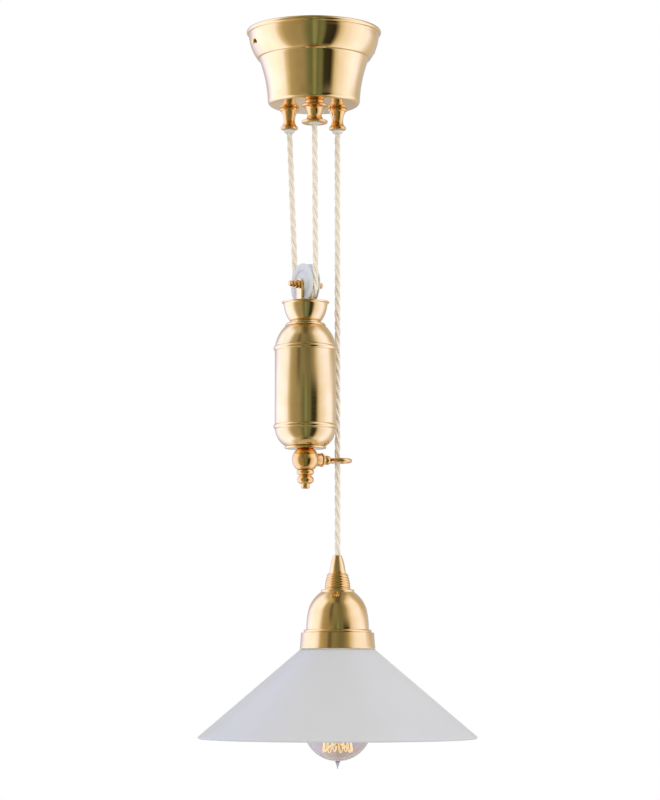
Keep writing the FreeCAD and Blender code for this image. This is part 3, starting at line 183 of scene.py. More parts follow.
def glazed(name, light, dark, rough, coat=0.2, scatter=0.0, waveMm=9, gloss=0.2):
    # a glassy skin over a plain body: porcelain glaze, black glass, or opal glass with light inside it
    material, tree, place = newMaterial(name)
    return surfaced(material, {
        "Base Color": patchyColour(tree, place, light, dark, waveMm * 2.5, 0.5), "Roughness": rough,
        "IOR": 1.5, "Coat Weight": coat, "Coat Roughness": 0.05, "Subsurface Weight": scatter,
        "Subsurface Scale": 0.01, "Subsurface Radius": (1, 1, 1), "Specular IOR Level": gloss,
        "Normal": relief(tree, cloud(tree, place, waveMm, 2.0), 0.3, 0.03)})


def clearGlass(name, tint, edge, rough=0.0):
    # blown glass: nearly clear face on; towards the glancing edges its colour goes deeper and darker, partly
    # the longer path through the tinted wall and partly a painted reflection of the dark room
    material, tree, place = newMaterial(name)
    # how glancing the view is sets how much of the painted dark edge colour is mixed in
    paintedEdgeShare = addNode(tree, "ShaderNodeLayerWeight", {"Blend": 0.5}).outputs["Facing"]
    return surfaced(material, {
        "Base Color": mixColour(tree, spread(tree, paintedEdgeShare, 0.62, 0.92), linear(tint), linear(edge)),
        "Roughness": rough, "IOR": 1.46, "Transmission Weight": 1.0, "Specular IOR Level": 0.3,
        "Normal": relief(tree, cloud(tree, place, 22, 1.0), 0.2, 0.05)})


def paintedGlowThread(name, light, dark, glow):
    # carbonised thread with a painted glow: a faint pale gold light makes it look bright
    material, tree, place = newMaterial(name)
    return surfaced(material, {
        "Base Color": patchyColour(tree, place, light, dark, 3, 0.4), "Roughness": 0.5,
        "Emission Color": linear(light), "Emission Strength": glow})


def braidedFlex(name, light, dark, threadMm=0.45, threadsRound=8):
    # cotton braid on each strand: two sets of threads cross round it, read from the strand's own attribute,
    # with painted shade in the grooves between strands
    material, tree, place = newMaterial(name)
    strand = addNode(tree, "ShaderNodeAttribute", attribute_name="strandPlace")
    split = addNode(tree, "ShaderNodeSeparateXYZ", {"Vector": strand.outputs["Vector"]})
    along, around, outward = split.outputs["X"], split.outputs["Y"], split.outputs["Z"]
    runBy = calc(tree, "MULTIPLY", along, 2 * math.pi / (threadMm * 2.4))
    threads = []
    for lean in (1, -1):
        turnedBy = calc(tree, "MULTIPLY", around, threadsRound * lean * 2 * math.pi)
        threads.append(calc(tree, "SINE", calc(tree, "ADD", turnedBy, runBy)))
    height = calc(tree, "ADD", calc(tree, "MAXIMUM", *threads), cloud(tree, place, 0.8, 3.0))
    ramp = addNode(tree, "ShaderNodeValToRGB", {"Fac": spread(tree, height, -0.4, 1.6)})
    ramp.color_ramp.elements[0].color = linear(dark)
    ramp.color_ramp.elements[1].color = linear(light)
    ramp.color_ramp.elements[1].position = 0.75
    # painted shade: the colour darkens towards the grooves between strands, the farther in from the flex's
    # outside a point lies
    shade = spread(tree, outward, 0.79, 1.01, 0.12, 1.0)
    # the braid colour with the painted groove shade laid over it
    grooveShadedColour = addNode(tree, "ShaderNodeVectorMath", {0: ramp.outputs["Color"], "Scale": shade},
                   operation="SCALE")
    return surfaced(material, {
        "Base Color": grooveShadedColour.outputs["Vector"], "Roughness": 0.8, "Sheen Weight": 0.3,
        "Sheen Roughness": 0.5, "Normal": relief(tree, height, 0.5, 0.12)})


finish = {
    "paleBrass": spunMetal("polished_spun_brass", "#f1c777", "#e6b964", 0.05, 0.09),
    "satinBrass": spunMetal("satin_lacquered_brass", "#eec67a", "#e0b563", 0.11, 0.17),
    "lampBrass": spunMetal("polished_lamp_brass", "#efc373", "#e2b25c", 0.06, 0.1),
    "deepBrass": spunMetal("turned_solid_brass", "#e9b45c", "#d29540", 0.08, 0.15, lineMm=0.5),
    "zincSteel": castMetal("zinc_plated_steel", "#c3c6ca", "#a7aaae", 0.28, 0.42),
    "castIron": castMetal("cast_iron", "#6a6a6c", "#4c4a48", 0.55, 0.75, grainMm=1.2, deep=0.08),
    "porcelain": glazed("glazed_porcelain", "#d6d7d4", "#cccdca", 0.3, coat=0.08),
    "opal": glazed("opal_glass", "#c9c9ca", "#c2c2c4", 0.32, coat=0.05, scatter=0.25, waveMm=40),
    "bulbGlass": clearGlass("tinted_bulb_glass", "#f8ece5", "#a89790"),
    "stemGlass": clearGlass("amber_stem_glass", "#f3d78f", "#cfa650", 0.05),
    "blackGlass": glazed("black_vitrite", "#17140f", "#221c14", 0.2, waveMm=4, gloss=0.5),
    "nylon": glazed("white_nylon", "#dedcd4", "#cfccc3", 0.45, coat=0.0, waveMm=3),
    "carbon": paintedGlowThread("carbon_thread_painted_glow", "#ffe6a8", "#e2b765", 0.9),
    "fibre": castMetal("pressed_fibre_washer", "#d9d4c6", "#c4bca8", 0.7, 0.85, metallic=0.0),
    "flex": braidedFlex("cotton_braided_flex", "#fbf0de", "#d8c8ae"),
}
print("stage: materials made")


# ---- making pieces
def nodeSpan(name):
    # centre x and y, top and low of a CAD node, in mm
    low, high = ([value / mm for value in corner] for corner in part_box(name))
    return (low[0] + high[0]) / 2, (low[1] + high[1]) / 2, high[2], low[2]


def topAndLow(name):
    return nodeSpan(name)[2:]


def drawOutline(bm, corners, arcSteps):
    # the outline lies in the XZ plane; a third number is how far the edge that arrives swells out
    first = tip = bm.verts.new((corners[0][0], 0, corners[0][1]))
    for spot in corners[1:]:
        goal = Vector((spot[0], 0, spot[1]))
        if len(spot) == 2:
            tip = bmesh.ops.extrude_vert_indiv(bm, verts=[tip])["verts"][0]
        else:
            chord = goal - tip.co
            swell = spot[2]
            radius = (chord.length_squared / 4 + swell * swell) / (2 * abs(swell))
            side = Vector((-chord.z, 0, chord.x)).normalized() * math.copysign(1, swell)
            centre = (tip.co + goal) / 2 + side * (abs(swell) - radius)
            turn = 4 * math.atan(2 * abs(swell) / chord.length) * math.copysign(1, swell)
            spun = bmesh.ops.spin(bm, geom=[tip], cent=centre, axis=(0, 1, 0), angle=turn, steps=arcSteps)
            tip = [item for item in spun["geom_last"] if isinstance(item, bmesh.types.BMVert)][0]
        tip.co = goal
    bm.edges.new((tip, first))
    return bm.verts[:], bm.edges[:]


def turnPiece(bm, angle, axis="Z"):
    bmesh.ops.rotate(bm, verts=bm.verts, cent=(0, 0, 0), matrix=Matrix.Rotation(angle, 3, axis))


def lathe(corners, steps=96, arcSteps=8, edgeRound=0.12):
    bm = bmesh.new()
    verts, edges = drawOutline(bm, corners, arcSteps)
    bmesh.ops.spin(bm, geom=verts + edges, cent=(0, 0, 0), axis=(0, 0, 1), angle=2 * math.pi,
                   steps=steps, use_merge=True)
    onAxis = [v for v in bm.verts if math.hypot(v.co.x, v.co.y) < 1e-4]
    bmesh.ops.remove_doubles(bm, verts=onAxis, dist=1e-4)
    bmesh.ops.dissolve_degenerate(bm, edges=bm.edges[:], dist=1e-5)
    bmesh.ops.delete(bm, geom=[e for e in bm.edges if not e.link_faces], context="EDGES")
    bmesh.ops.recalc_face_normals(bm, faces=bm.faces)
    if edgeRound:
        roundEdges(bm, edgeRound)
    return bm


def roundEdges(bm, width, sharper=28):
    sharp = [e for e in bm.edges if len(e.link_faces) == 2 and e.calc_face_angle(0) > math.radians(sharper)]
    bmesh.ops.bevel(bm, geom=sharp, offset=width, offset_type="OFFSET", affect="EDGES", segments=2,
                    profile=0.5, material=-1, clamp_overlap=True)


def levelLathe(corners, **settings):
    # turned from (along, radius) corners round a level axis, which points to +X
    turned = [(radius, along, *(-bend for bend in swell)) for along, radius, *swell in corners]
    bm = lathe(turned, **settings)
    turnPiece(bm, math.pi / 2, "Y")
    return bm


def bothWays(corners, **settings):
    # the same level piece twice, pointing to +X and to -X
    pair = [levelLathe(corners, **settings) for _ in range(2)]
    turnPiece(pair[1], math.pi)
    return joined(pair)


def shellOutline(outer, wall):
    # outer corners (radius, height, swell, inward, upward), then the same ones a wall further in;
    # a corner that says only its place, or its swell too, goes straight inward
    outer = [(*corner, *(0, 1, 0)[len(corner) - 2:]) for corner in outer]
    inner, swell = [], 0
    for radius, height, bend, inward, upward in reversed(outer):
        inner.append((radius - wall * inward, height + wall * upward) + ((swell,) if swell else ()))
        swell = -bend
    return [(r, z, b) if b else (r, z) for r, z, b, _, _ in outer] + inner


def asMesh(bm, name="part"):
    mesh = bpy.data.meshes.new(name)
    bm.to_mesh(mesh)
    bm.free()
    return mesh


def gathered(meshes):
    whole = bmesh.new()
    for mesh in meshes:
        whole.from_mesh(mesh)
        bpy.data.meshes.remove(mesh)
    return whole


def joined(parts):
    return gathered([asMesh(part) for part in parts])


def finishPiece(bm, name, body, material, nodes, place=(0, 0, 0), turn=0, smooth=35):
    turnPiece(bm, turn)
    bmesh.ops.translate(bm, verts=bm.verts, vec=place)
    bmesh.ops.scale(bm, verts=bm.verts, vec=(mm, mm, mm))
    return finishMesh(asMesh(bm, name), name, body, material, nodes, smooth)


def finishMesh(mesh, name, body, material, nodes, smooth=35):
    mesh.shade_smooth()
    mesh.set_sharp_from_angle(angle=math.radians(smooth))
    mesh.materials.clear()
    mesh.materials.append(finish[material])
    piece = bpy.data.objects.new(name, mesh)
    scene.collection.objects.link(piece)
    if body:
        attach(piece, body)
    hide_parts(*nodes)
    return piece


def dressNode(node, name, body, material, width=0.2):
    # a CAD node's mesh in mm, merged, with its flat faces whole again and its edges rounded
    bm = bmesh.new()
    bm.from_mesh(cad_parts[node].data)
    bmesh.ops.scale(bm, verts=bm.verts, vec=(1000, 1000, 1000))
    bmesh.ops.remove_doubles(bm, verts=bm.verts, dist=1e-4)
    bmesh.ops.dissolve_limit(bm, angle_limit=math.radians(1), verts=bm.verts, edges=bm.edges)
    roundEdges(bm, width, sharper=32)
    finishPiece(bm, name, body, material, [node])


def levelPiece(corners, name, body, material, nodes, place, turn, steps=64):
    finishPiece(levelLathe(corners, steps=steps), name, body, material, nodes, place=place, turn=turn)


def curveMesh(points, radius=0.0, sides=0, caps=False, smooth=0):
    # a line along points, given in metres, as a mesh; with a radius it is a tube
    data = bpy.data.curves.new("line", "CURVE")
    data.dimensions = "3D"
    data.bevel_depth = radius
    data.bevel_resolution = sides
    data.use_fill_caps = caps
    line = data.splines.new("NURBS" if smooth else "POLY")
    line.points.add(len(points) - 1)
    for knot, spot in zip(line.points, points):
        knot.co = (*spot, 1)
    if smooth:
        data.resolution_u = smooth
        line.order_u = 3
        line.use_endpoint_u = True
    holder = bpy.data.objects.new("line", data)
    mesh = bpy.data.meshes.new_from_object(holder)
    bpy.data.objects.remove(holder)
    bpy.data.curves.remove(data)
    return mesh


# ---- where things hang, from the frame, in mm
anchorX, anchorY = nodeSpan("anchor_cord_nozzle")[:2]
leftX, leftY, stemTop, nozzleMouth = nodeSpan("left_cord_nozzle")
rightX, rightY = nodeSpan("right_cord_nozzle")[:2]
weightX, weightY = nodeSpan("weight_tube")[:2]
pulleyLine = math.atan2(anchorY - leftY, anchorX - leftX)
guideLine = math.atan2(rightY - weightY, rightX - weightX)
pulleyZ = sum(topAndLow("pulley_wheel")) / 2
sheaveX, sheaveY = nodeSpan("sheave_wheel")[:2]
sheaveZ = sum(topAndLow("sheave_wheel")) / 2
sheaveLine = math.atan2(rightY - leftY, rightX - leftX)
sheaveRadius = math.hypot(rightX - leftX, rightY - leftY) / 2

# ---- flex: three braided strands twisted together
flex = {
    "across": 5.0,
    "strandRadius": 1.24,
    "strandOff": 1.32,
    "strands": 3,
    "lay": 30.0,        # length of one full turn of the twist
    "stepMm": 1.2,
    "wheelRadius": 16.5,
    "runShares": (0.35, 0.78),    # where the hanging runs' route has its points
    "heldAbove": 18,              # from here to the wheel's axle the flex moves with the counterweight
}


def routeLine(points):
    # points read from the smooth line through the route
    mesh = curveMesh([Vector(spot) * mm for spot in points], smooth=24)
    read = [v.co.copy() for v in mesh.vertices]
    bpy.data.meshes.remove(mesh)
    return read


def evenly(line, step):
    # the same line with a point every step
    runs = [(b - a).length for a, b in zip(line, line[1:])]
    total = sum(runs)
    count = max(2, round(total / step))
    places, index, done = [], 0, 0.0
    for number in range(count + 1):
        goal = total * number / count
        while index < len(runs) - 1 and done + runs[index] < goal:
            done += runs[index]
            index += 1
        share = (goal - done) / runs[index] if runs[index] else 0
        places.append(line[index].lerp(line[index + 1], min(1, share)))
    return places, total


def strandTube(places, middles):
    # strandPlace holds how far along and round the strand a point is, and how far out from the flex's middle
    mesh = curveMesh(places, radius=flex["strandRadius"] * mm, sides=2, caps=True)
    ring = len(mesh.vertices) // len(places)
    note = mesh.attributes.new("strandPlace", "FLOAT_VECTOR", "POINT")
    step = (places[1] - places[0]).length / mm
    outermost = flex["across"] / 2 * mm
    for index, item in enumerate(note.data):
        middle = middles[min(index // ring, len(middles) - 1)]
        outward = (mesh.vertices[index].co - middle).length / outermost
        item.vector = (step * (index // ring), (index % ring) / ring, outward)
    return mesh


def twistedFlex(name, points, body, nodes, startTurn=0.0):
    line, total = evenly(routeLine(points), flex["stepMm"] * mm)
    side = Vector((1, 0, 0))      # every stretch starts nearly upright
    strands = [[] for _ in range(flex["strands"])]
    away = 0.0
    for index, spot in enumerate(line):
        ahead = line[min(index + 1, len(line) - 1)] - line[max(index - 1, 0)]
        ahead.normalize()
        side = (side - ahead * side.dot(ahead)).normalized()   # carried along without turning
        across = ahead.cross(side)
        if index:
            away += (spot - line[index - 1]).length
        turn = startTurn - 2 * math.pi * away / (flex["lay"] * mm)
        for number, strand in enumerate(strands):
            angle = turn + 2 * math.pi * number / len(strands)
            outward = side * math.cos(angle) + across * math.sin(angle)
            strand.append(spot + outward * flex["strandOff"] * mm)
    whole = asMesh(gathered([strandTube(strand, line) for strand in strands]), name)
    piece = finishMesh(whole, name, body, "flex", nodes, smooth=60)
    print("flex:", name, round(total / mm, 1), "mm")
    return piece


def aroundWheel(x, y, z, line, radius, upward):
    # corners round half a wheel, from its right side to its left
    lean = math.tan(math.radians(22.5))
    rise = radius if upward else -radius
    return [(x + along * radius * math.cos(line), y + along * radius * math.sin(line), z + high * rise)
            for along, high in ((1, 0), (1, lean), (lean, 1), (-lean, 1), (-1, lean), (-1, 0))]


def between(start, end, share):
    return tuple(a + (b - a) * share for a, b in zip(start, end))


anchorExit = (anchorX, anchorY, nozzleMouth)
leftExit = (leftX, leftY, nozzleMouth)
rightExit = (rightX, rightY, nozzleMouth)
wrap = aroundWheel(weightX, weightY, pulleyZ, pulleyLine, flex["wheelRadius"], False)
near, far = flex["runShares"]
loop = [anchorExit, between(anchorExit, wrap[0], near), between(anchorExit, wrap[0], far)]
loop += wrap + [between(leftExit, wrap[-1], far), between(leftExit, wrap[-1], near), leftExit]
loopFlex = twistedFlex("flex_loop", loop, None, ("cord_anchor_run", "cord_pulley_wrap", "cord_return_run"))
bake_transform(loopFlex)

lampEnd = (rightX, rightY, nodeSpan("cord_lamp_run")[3])
drop = [between(rightExit, lampEnd, quarter / 4) for quarter in range(5)]
lampFlex = twistedFlex("flex_to_lamp", drop, None, ("cord_lamp_run",), startTurn=1.1)
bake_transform(lampFlex)

over = aroundWheel(sheaveX, sheaveY, sheaveZ, sheaveLine, sheaveRadius, True)
over = [rightExit, between(rightExit, over[0], 0.5), *over, between(leftExit, over[-1], 0.5), leftExit]
twistedFlex("flex_over_sheave", over, "canopy", ("cord_over_sheave",))

blockX, blockY, blockTop = nodeSpan("terminal_block")[:3]
tailBend = nodeSpan("cord_tail")[2] - flex["across"] / 2
tailRadius = math.hypot(blockX - anchorX, blockY - anchorY) / 2
tailLine = math.atan2(blockY - anchorY, blockX - anchorX)
tail = aroundWheel((blockX + anchorX) / 2, (blockY + anchorY) / 2, tailBend - tailRadius, tailLine,
                   tailRadius, True)
tail = [(blockX, blockY, blockTop), *tail, between(tail[-1], anchorExit, 0.5), anchorExit]
twistedFlex("flex_tail", tail, "canopy", ("cord_tail",))
print("stage: flex twisted")


# ---- ceiling cup
cup = {
    "wall": 1.0, "rim": 56.1, "bead": 4.2, "beadSwell": 1.9, "ridge": 48.6, "ridgeDrop": 25.0,
    "bandSwell": 1.7, "ledgeHigh": 0.7, "waist": 47.0, "foot": 39.6, "corner": 3.8, "depth": 66.0,
    "bodyHollow": 1.5,
}
quarterSwell = 0.29      # how far a quarter circle swells from its chord, for a radius of 1
cupFloor = -cup["depth"]
cupOutline = shellOutline([
    (cup["rim"], 0), (cup["rim"], -cup["bead"], cup["beadSwell"]),
    (cup["ridge"], -cup["ridgeDrop"], cup["bandSwell"]),
    (cup["waist"], -cup["ridgeDrop"] - cup["ledgeHigh"]),
    (cup["foot"], cupFloor + cup["corner"], -cup["bodyHollow"]),
    (cup["foot"] - cup["corner"], cupFloor, cup["corner"] * quarterSwell, 0, 1), (0, cupFloor, 0, 0, 1),
], cup["wall"])
finishPiece(lathe(cupOutline, steps=160, arcSteps=14), "ceiling_cup", "canopy", "paleBrass", ["canopy_cup"])

sideScrew = {"drop": 14.0, "bearing": 21, "seat": 55.1, "head": 2.4, "edge": 0.6, "high": 1.7, "shank": 1.5,
             "long": 9.0}
seat, head, shank = sideScrew["seat"], sideScrew["head"], sideScrew["shank"]
back, front = seat - sideScrew["long"], seat + sideScrew["high"]
finishPiece(bothWays([
    (back, 0), (back, shank), (seat, shank), (seat, head), (seat + sideScrew["edge"], head),
    (front, 0.5, 0.2), (front, 0)], steps=40, edgeRound=0.1),
    "side_screws", "canopy", "paleBrass", ["canopy_side_screws"], place=(0, 0, -sideScrew["drop"]),
    turn=math.radians(sideScrew["bearing"]))
print("stage: ceiling cup made")


# ---- nozzles and their bushes; heights go down from the cup's floor or up from the mouth
nozzle = {
    "long": 18.5, "flange": 8.4, "disc": 2.4, "step": 3.4, "neck": 7.5, "waist": 4.9, "bell": 2.6,
    "flare": 7.4, "stem": 5.0, "bore": 3.0,
}
anchor = {
    "long": 21.5, "tuck": 1.5, "cap": 8.0, "band": 2.6, "shoulder": 11.35, "discTop": 4.0, "discFoot": 5.8,
    "bandFoot": 7.6, "waist": 6.0, "neckTop": 7.8, "neckFoot": 5.2, "bell": 11.35, "bellHigh": 2.2,
}
bush = {"lip": 3.0, "radius": 4.6, "spigot": 3.9, "deep": 4.5, "bore": 2.8, "anchorRadius": 5.2,
        "anchorDeep": 6.5, "anchorShow": 0.8}
mouth = cupFloor - nozzle["long"]
bore, flange, flare = nozzle["bore"], nozzle["flange"], nozzle["flare"] - 0.5
stemCorners = [(bore, stemTop), (nozzle["stem"], stemTop), (nozzle["stem"], cupFloor)]
seatRadius, seatTop = bush["spigot"] + 0.1, mouth + bush["deep"]
nozzleOutline = stemCorners + [
    (flange - 0.6, cupFloor), (flange - 0.4, cupFloor - nozzle["disc"], 0.5),
    (flange - 1.6, cupFloor - nozzle["step"], -0.2), (nozzle["waist"], mouth + nozzle["neck"], -0.5),
    (flare, mouth + nozzle["bell"], -0.6), (flare, mouth, 0.6), (seatRadius, mouth), (seatRadius, seatTop),
    (bore, seatTop),
]
for side, x, y in (("left", leftX, leftY), ("right", rightX, rightY)):
    finishPiece(lathe(nozzleOutline, steps=72), side + "_nozzle", "canopy", "deepBrass",
                [side + "_cord_nozzle"], place=(x, y, 0))

anchorMouth = cupFloor - anchor["long"] + anchor["tuck"]
cap, shoulder, waist = anchor["cap"], anchor["shoulder"], anchor["waist"]
bell, plug, plugTop = anchor["bell"], bush["anchorRadius"], anchorMouth + bush["anchorDeep"]
anchorOutline = stemCorners + [
    (cap - 0.5, cupFloor), (cap, cupFloor - anchor["band"], 0.4),
    (shoulder - 1.0, cupFloor - anchor["discTop"], -0.4),
    (shoulder - 0.8, cupFloor - anchor["discFoot"], 0.7),
    (cap - 0.4, cupFloor - anchor["bandFoot"], -0.3),
    (waist, anchorMouth + anchor["neckTop"], -0.4),
    (waist + 0.5, anchorMouth + anchor["neckFoot"], -0.2),
    (bell - 0.7, anchorMouth + anchor["bellHigh"], -1.0), (bell - 0.9, anchorMouth, 0.6),
    (plug + 1.3, anchorMouth, -0.5), (plug + 0.1, anchorMouth + 1.6), (plug + 0.1, plugTop), (bore, plugTop),
]
finishPiece(lathe(anchorOutline, steps=80), "anchor_nozzle", "canopy", "deepBrass", ["anchor_cord_nozzle"],
            place=(anchorX, anchorY, 0))

hole, lipFoot, plugFoot = bush["bore"], mouth - bush["lip"], anchorMouth - bush["anchorShow"]
bushOutline = [
    (hole, seatTop), (bush["spigot"], seatTop), (bush["spigot"], mouth), (bush["radius"], mouth),
    (bush["radius"] - 0.8, lipFoot, 0.7), (hole + 0.5, lipFoot, 0.2), (hole, lipFoot + 1.2, 0.3),
]
plugOutline = [
    (hole, plugTop), (plug, plugTop), (plug, anchorMouth + 1.0), (plug - 1.0, plugFoot, 0.4),
    (hole + 0.6, plugFoot, 0.3), (hole, anchorMouth + 0.4, 0.3),
]
bushParts = []
for outline, x, y in ((bushOutline, leftX, leftY), (bushOutline, rightX, rightY),
                      (plugOutline, anchorX, anchorY)):
    part = lathe(outline, steps=48, edgeRound=0.08)
    bmesh.ops.translate(part, verts=part.verts, vec=(x, y, 0))
    bushParts.append(part)
finishPiece(joined(bushParts), "nozzle_bushes_white", "canopy", "nylon", ["nozzle_bushes"])
print("stage: nozzles made")


# ---- fittings inside the ceiling cup
for node, name, material in (
    ("ceiling_strap", "strap", "zincSteel"), ("load_plate", "plate", "zincSteel"),
    ("nozzle_lock_nuts", "lock_nuts", "deepBrass"), ("terminal_block", "terminals", "porcelain"),
    ("sheave_bracket", "bracket", "zincSteel"),
):
    dressNode(node, name, "canopy", material)


# ---- wheels: half widths, and radii from the hub or from the flex's line round the wheel
wheel = {
    "half": 4.3, "over": 1.5, "hub": 3.8, "axle": 2.05, "boss": 2.2, "bossStep": 3.4, "web": 0.9,
    "rimStep": 3.6, "rimDeep": 5.0, "groove": 2.85, "bed": 0.3, "lip": 3.1, "lipWide": 0.7,
}


def wheelOutline(line, hub):
    half, rim, bed, lip = wheel["half"], line + wheel["over"], line - wheel["bed"], wheel["lip"]
    web, rimStep, rimFoot = half - wheel["web"], line - wheel["rimStep"], line - wheel["rimDeep"]
    boss, bossStep = hub + wheel["boss"], hub + wheel["bossStep"]
    bedHalf = math.sqrt(wheel["groove"] ** 2 - wheel["bed"] ** 2)
    return [
        (-half, hub), (-half, boss), (-web, bossStep, -0.2), (-web, rimFoot), (-half, rimStep, 0.2),
        (-lip - wheel["lipWide"], rim, 0.5), (-lip, rim), (-bedHalf, bed),
        (bedHalf, bed, wheel["bed"] - wheel["groove"]), (lip, rim), (lip + wheel["lipWide"], rim),
        (half, rimStep, 0.5), (web, rimFoot, 0.2), (web, bossStep), (half, boss, -0.2), (half, hub),
    ]


pulleyPlace, pulleyTurn = (weightX, weightY, pulleyZ), pulleyLine + math.pi / 2
sheavePlace, sheaveTurn = (sheaveX, sheaveY, sheaveZ), sheaveLine + math.pi / 2
levelPiece(wheelOutline(flex["wheelRadius"], wheel["hub"]), "white_pulley", "weight_pulley", "porcelain",
           ["pulley_wheel"], pulleyPlace, pulleyTurn, steps=96)
bushHalf, bushRadius = wheel["half"] + 0.2, wheel["hub"] - 0.05
levelPiece([(-bushHalf, wheel["axle"]), (-bushHalf, bushRadius), (bushHalf, bushRadius),
            (bushHalf, wheel["axle"])], "pulley_bushing", "weight_pulley", "deepBrass", ["pulley_bush"],
           pulleyPlace, pulleyTurn)
levelPiece(wheelOutline(sheaveRadius, wheel["axle"]), "white_sheave", "ceiling_sheave", "porcelain",
           ["sheave_wheel"], sheavePlace, sheaveTurn, steps=96)
print("stage: wheels made")


# ---- counterweight
axle = {"strapOuter": 6.7, "end": 16.4, "radius": 2.0, "bore": 2.1, "nut": 3.6, "nutLong": 3.9, "cap": 2.6,
        "capLong": 2.7, "tip": 2.35}
weight = {
    "cupRim": 20.25, "cupFloor": 13.4, "cupSwell": 1.0, "cupWall": 1.5, "rodHole": 2.6, "neck": 12.4,
    "disc": 17.4, "shoulder": 16.8, "domeSwell": 1.7, "lowDomeSwell": 2.2, "radius": 26.1, "wall": 1.2,
    "bead": 1.0, "foot": 17.6, "ball": 11.35, "boss": 5.5, "bossIn": 3, "bossReach": 15.0,
}
dressNode("pulley_yoke", "yoke", "counterweight", "satinBrass", 0.3)
outer, step, tip = axle["strapOuter"], axle["strapOuter"] + axle["nutLong"], axle["tip"]
capEnd, end, rod = step + axle["capLong"], axle["end"], axle["radius"]
levelPiece([(-end, 0), (-end, tip - 0.5), (0.5 - end, tip, 0.15), (-capEnd, tip), (-capEnd, rod),
            (capEnd, rod), (capEnd, tip), (end - 0.5, tip), (end, tip - 0.5, 0.15), (end, 0)],
           "axle", "counterweight", "deepBrass", ["pulley_axle"], pulleyPlace, pulleyTurn)
finishPiece(bothWays([
    (outer, axle["bore"]), (outer, axle["nut"] - 0.3), (step - 0.4, axle["nut"] - 0.1, 0.3),
    (step, axle["cap"], 0.2), (capEnd, axle["cap"], 0.25), (capEnd, axle["bore"])], steps=56),
    "axle_nuts", "counterweight", "deepBrass", ["pulley_axle_nuts"], place=pulleyPlace, turn=pulleyTurn)


def weightPiece(outline, name, node, material="satinBrass", steps=112, edgeRound=0.15):
    finishPiece(lathe(outline, steps=steps, arcSteps=10, edgeRound=edgeRound), name, "counterweight",
                material, [node], place=(weightX, weightY, 0))


hole, wall, radius = weight["rodHole"], weight["wall"], weight["radius"]
shoulder, rim, neck = weight["shoulder"], weight["cupRim"], weight["neck"]
cupTop, cupLow = topAndLow("weight_cup")
weightPiece(shellOutline([
    (rim - 0.2, cupTop), (rim - 0.4, cupTop - 1.4, 0.3), (rim - 1.6, cupTop - 3.0, -0.3),
    (weight["cupFloor"], cupLow, weight["cupSwell"], 0, 1), (hole, cupLow, 0, 0, 1)], weight["cupWall"]),
    "cup", "weight_cup")
collarTop, domeTop = topAndLow("weight_collar")
weightPiece([
    (hole, collarTop), (neck, collarTop), (neck, collarTop - 1.3), (weight["disc"] - 2.2, collarTop - 1.6),
    (weight["disc"], domeTop, 0.5), (hole, domeTop)], "collar", "weight_collar")
_, beadTop = topAndLow("weight_top_dome")
weightPiece(shellOutline([
    (hole, domeTop, 0, 0, -1), (shoulder, domeTop, 0, 0, -1),
    (radius - 0.2, beadTop, weight["domeSwell"])], wall), "top_dome", "weight_top_dome")
tubeTop, tubeLow = topAndLow("weight_tube")
lowerTop, footTop = topAndLow("weight_bottom_dome")
beadParts = []
for top, low in ((beadTop, tubeTop), (tubeLow, lowerTop)):
    beadParts.append(lathe([(radius - wall, top), (radius + 0.2, top), (radius + 0.2, low, weight["bead"]),
                            (radius - wall, low)], steps=112, edgeRound=0.08))
finishPiece(joined(beadParts), "beads", "counterweight", "satinBrass", ["weight_beads"],
            place=(weightX, weightY, 0))
weightPiece([(radius - wall, tubeTop), (radius, tubeTop), (radius, tubeLow), (radius - wall, tubeLow)],
            "tube", "weight_tube", edgeRound=0.1)
weightPiece(shellOutline([
    (radius - 0.2, lowerTop), (shoulder, footTop, weight["lowDomeSwell"], 0, 1),
    (hole, footTop, 0, 0, 1)], wall), "bottom_dome", "weight_bottom_dome")
_, footLow = topAndLow("weight_foot")
foot = weight["foot"] - 0.3
weightPiece([(hole, footTop), (foot, footTop), (foot, footLow, 0.4), (hole, footLow)], "foot", "weight_foot")

ballTop, ballLow = topAndLow("weight_ball")
ballZ = ballTop - (ballTop - ballLow + 0.5) / 2
ball = weight["ball"]


def arcSwell(size, across, down):
    half = math.hypot(across, down) / 2
    return size - math.sqrt(size * size - half * half)


above, below = ballTop - ballZ, ballZ - ballLow
topRadius, lowRadius = math.sqrt(ball ** 2 - above ** 2), math.sqrt(ball ** 2 - below ** 2)
ballShape = lathe([
    (hole, above), (topRadius, above), (ball, 0, arcSwell(ball, ball - topRadius, above)),
    (lowRadius, -below, arcSwell(ball, ball - lowRadius, below)), (hole, -below)], steps=96, arcSteps=14)
boss, reach, bossBack = weight["boss"], weight["bossReach"], ball - weight["bossIn"]
shankBore = axle["radius"] + 0.05
bossShape = levelLathe([
    (bossBack, 0), (bossBack, boss), (reach - 0.6, boss), (reach, boss - 0.6), (reach, shankBore),
    (reach - 3, shankBore), (reach - 3, 0)], steps=64)
finishPiece(joined([ballShape, bossShape]), "ball_and_boss", "counterweight", "deepBrass", ["weight_ball"],
            place=(weightX, weightY, ballZ), turn=guideLine)

finialTop, finialTip = topAndLow("weight_finial")
finial = {"bead": 4.6, "neck": 4.8, "bulb": 7.2, "bulbHigh": 7.6, "stepHigh": 9.4}
beadLow, neck = finialTop - finial["bead"], finial["neck"]
weightPiece([
    (hole, finialTop), (neck + 1.2, finialTop), (neck + 1.2, beadLow, 1.4), (neck, beadLow - 0.9, -0.2),
    (neck - 0.5, beadLow - finial["bulbHigh"], finial["bulb"] - neck + 0.2),
    (neck - 1.4, beadLow - finial["stepHigh"], -0.2), (neck - 1.0, finialTip + 0.8, 0.1),
    (0.5, finialTip, 0.15), (0, finialTip), (0, beadLow + 0.6), (hole, beadLow + 0.6)],
    "finial", "weight_finial", "deepBrass", steps=72)

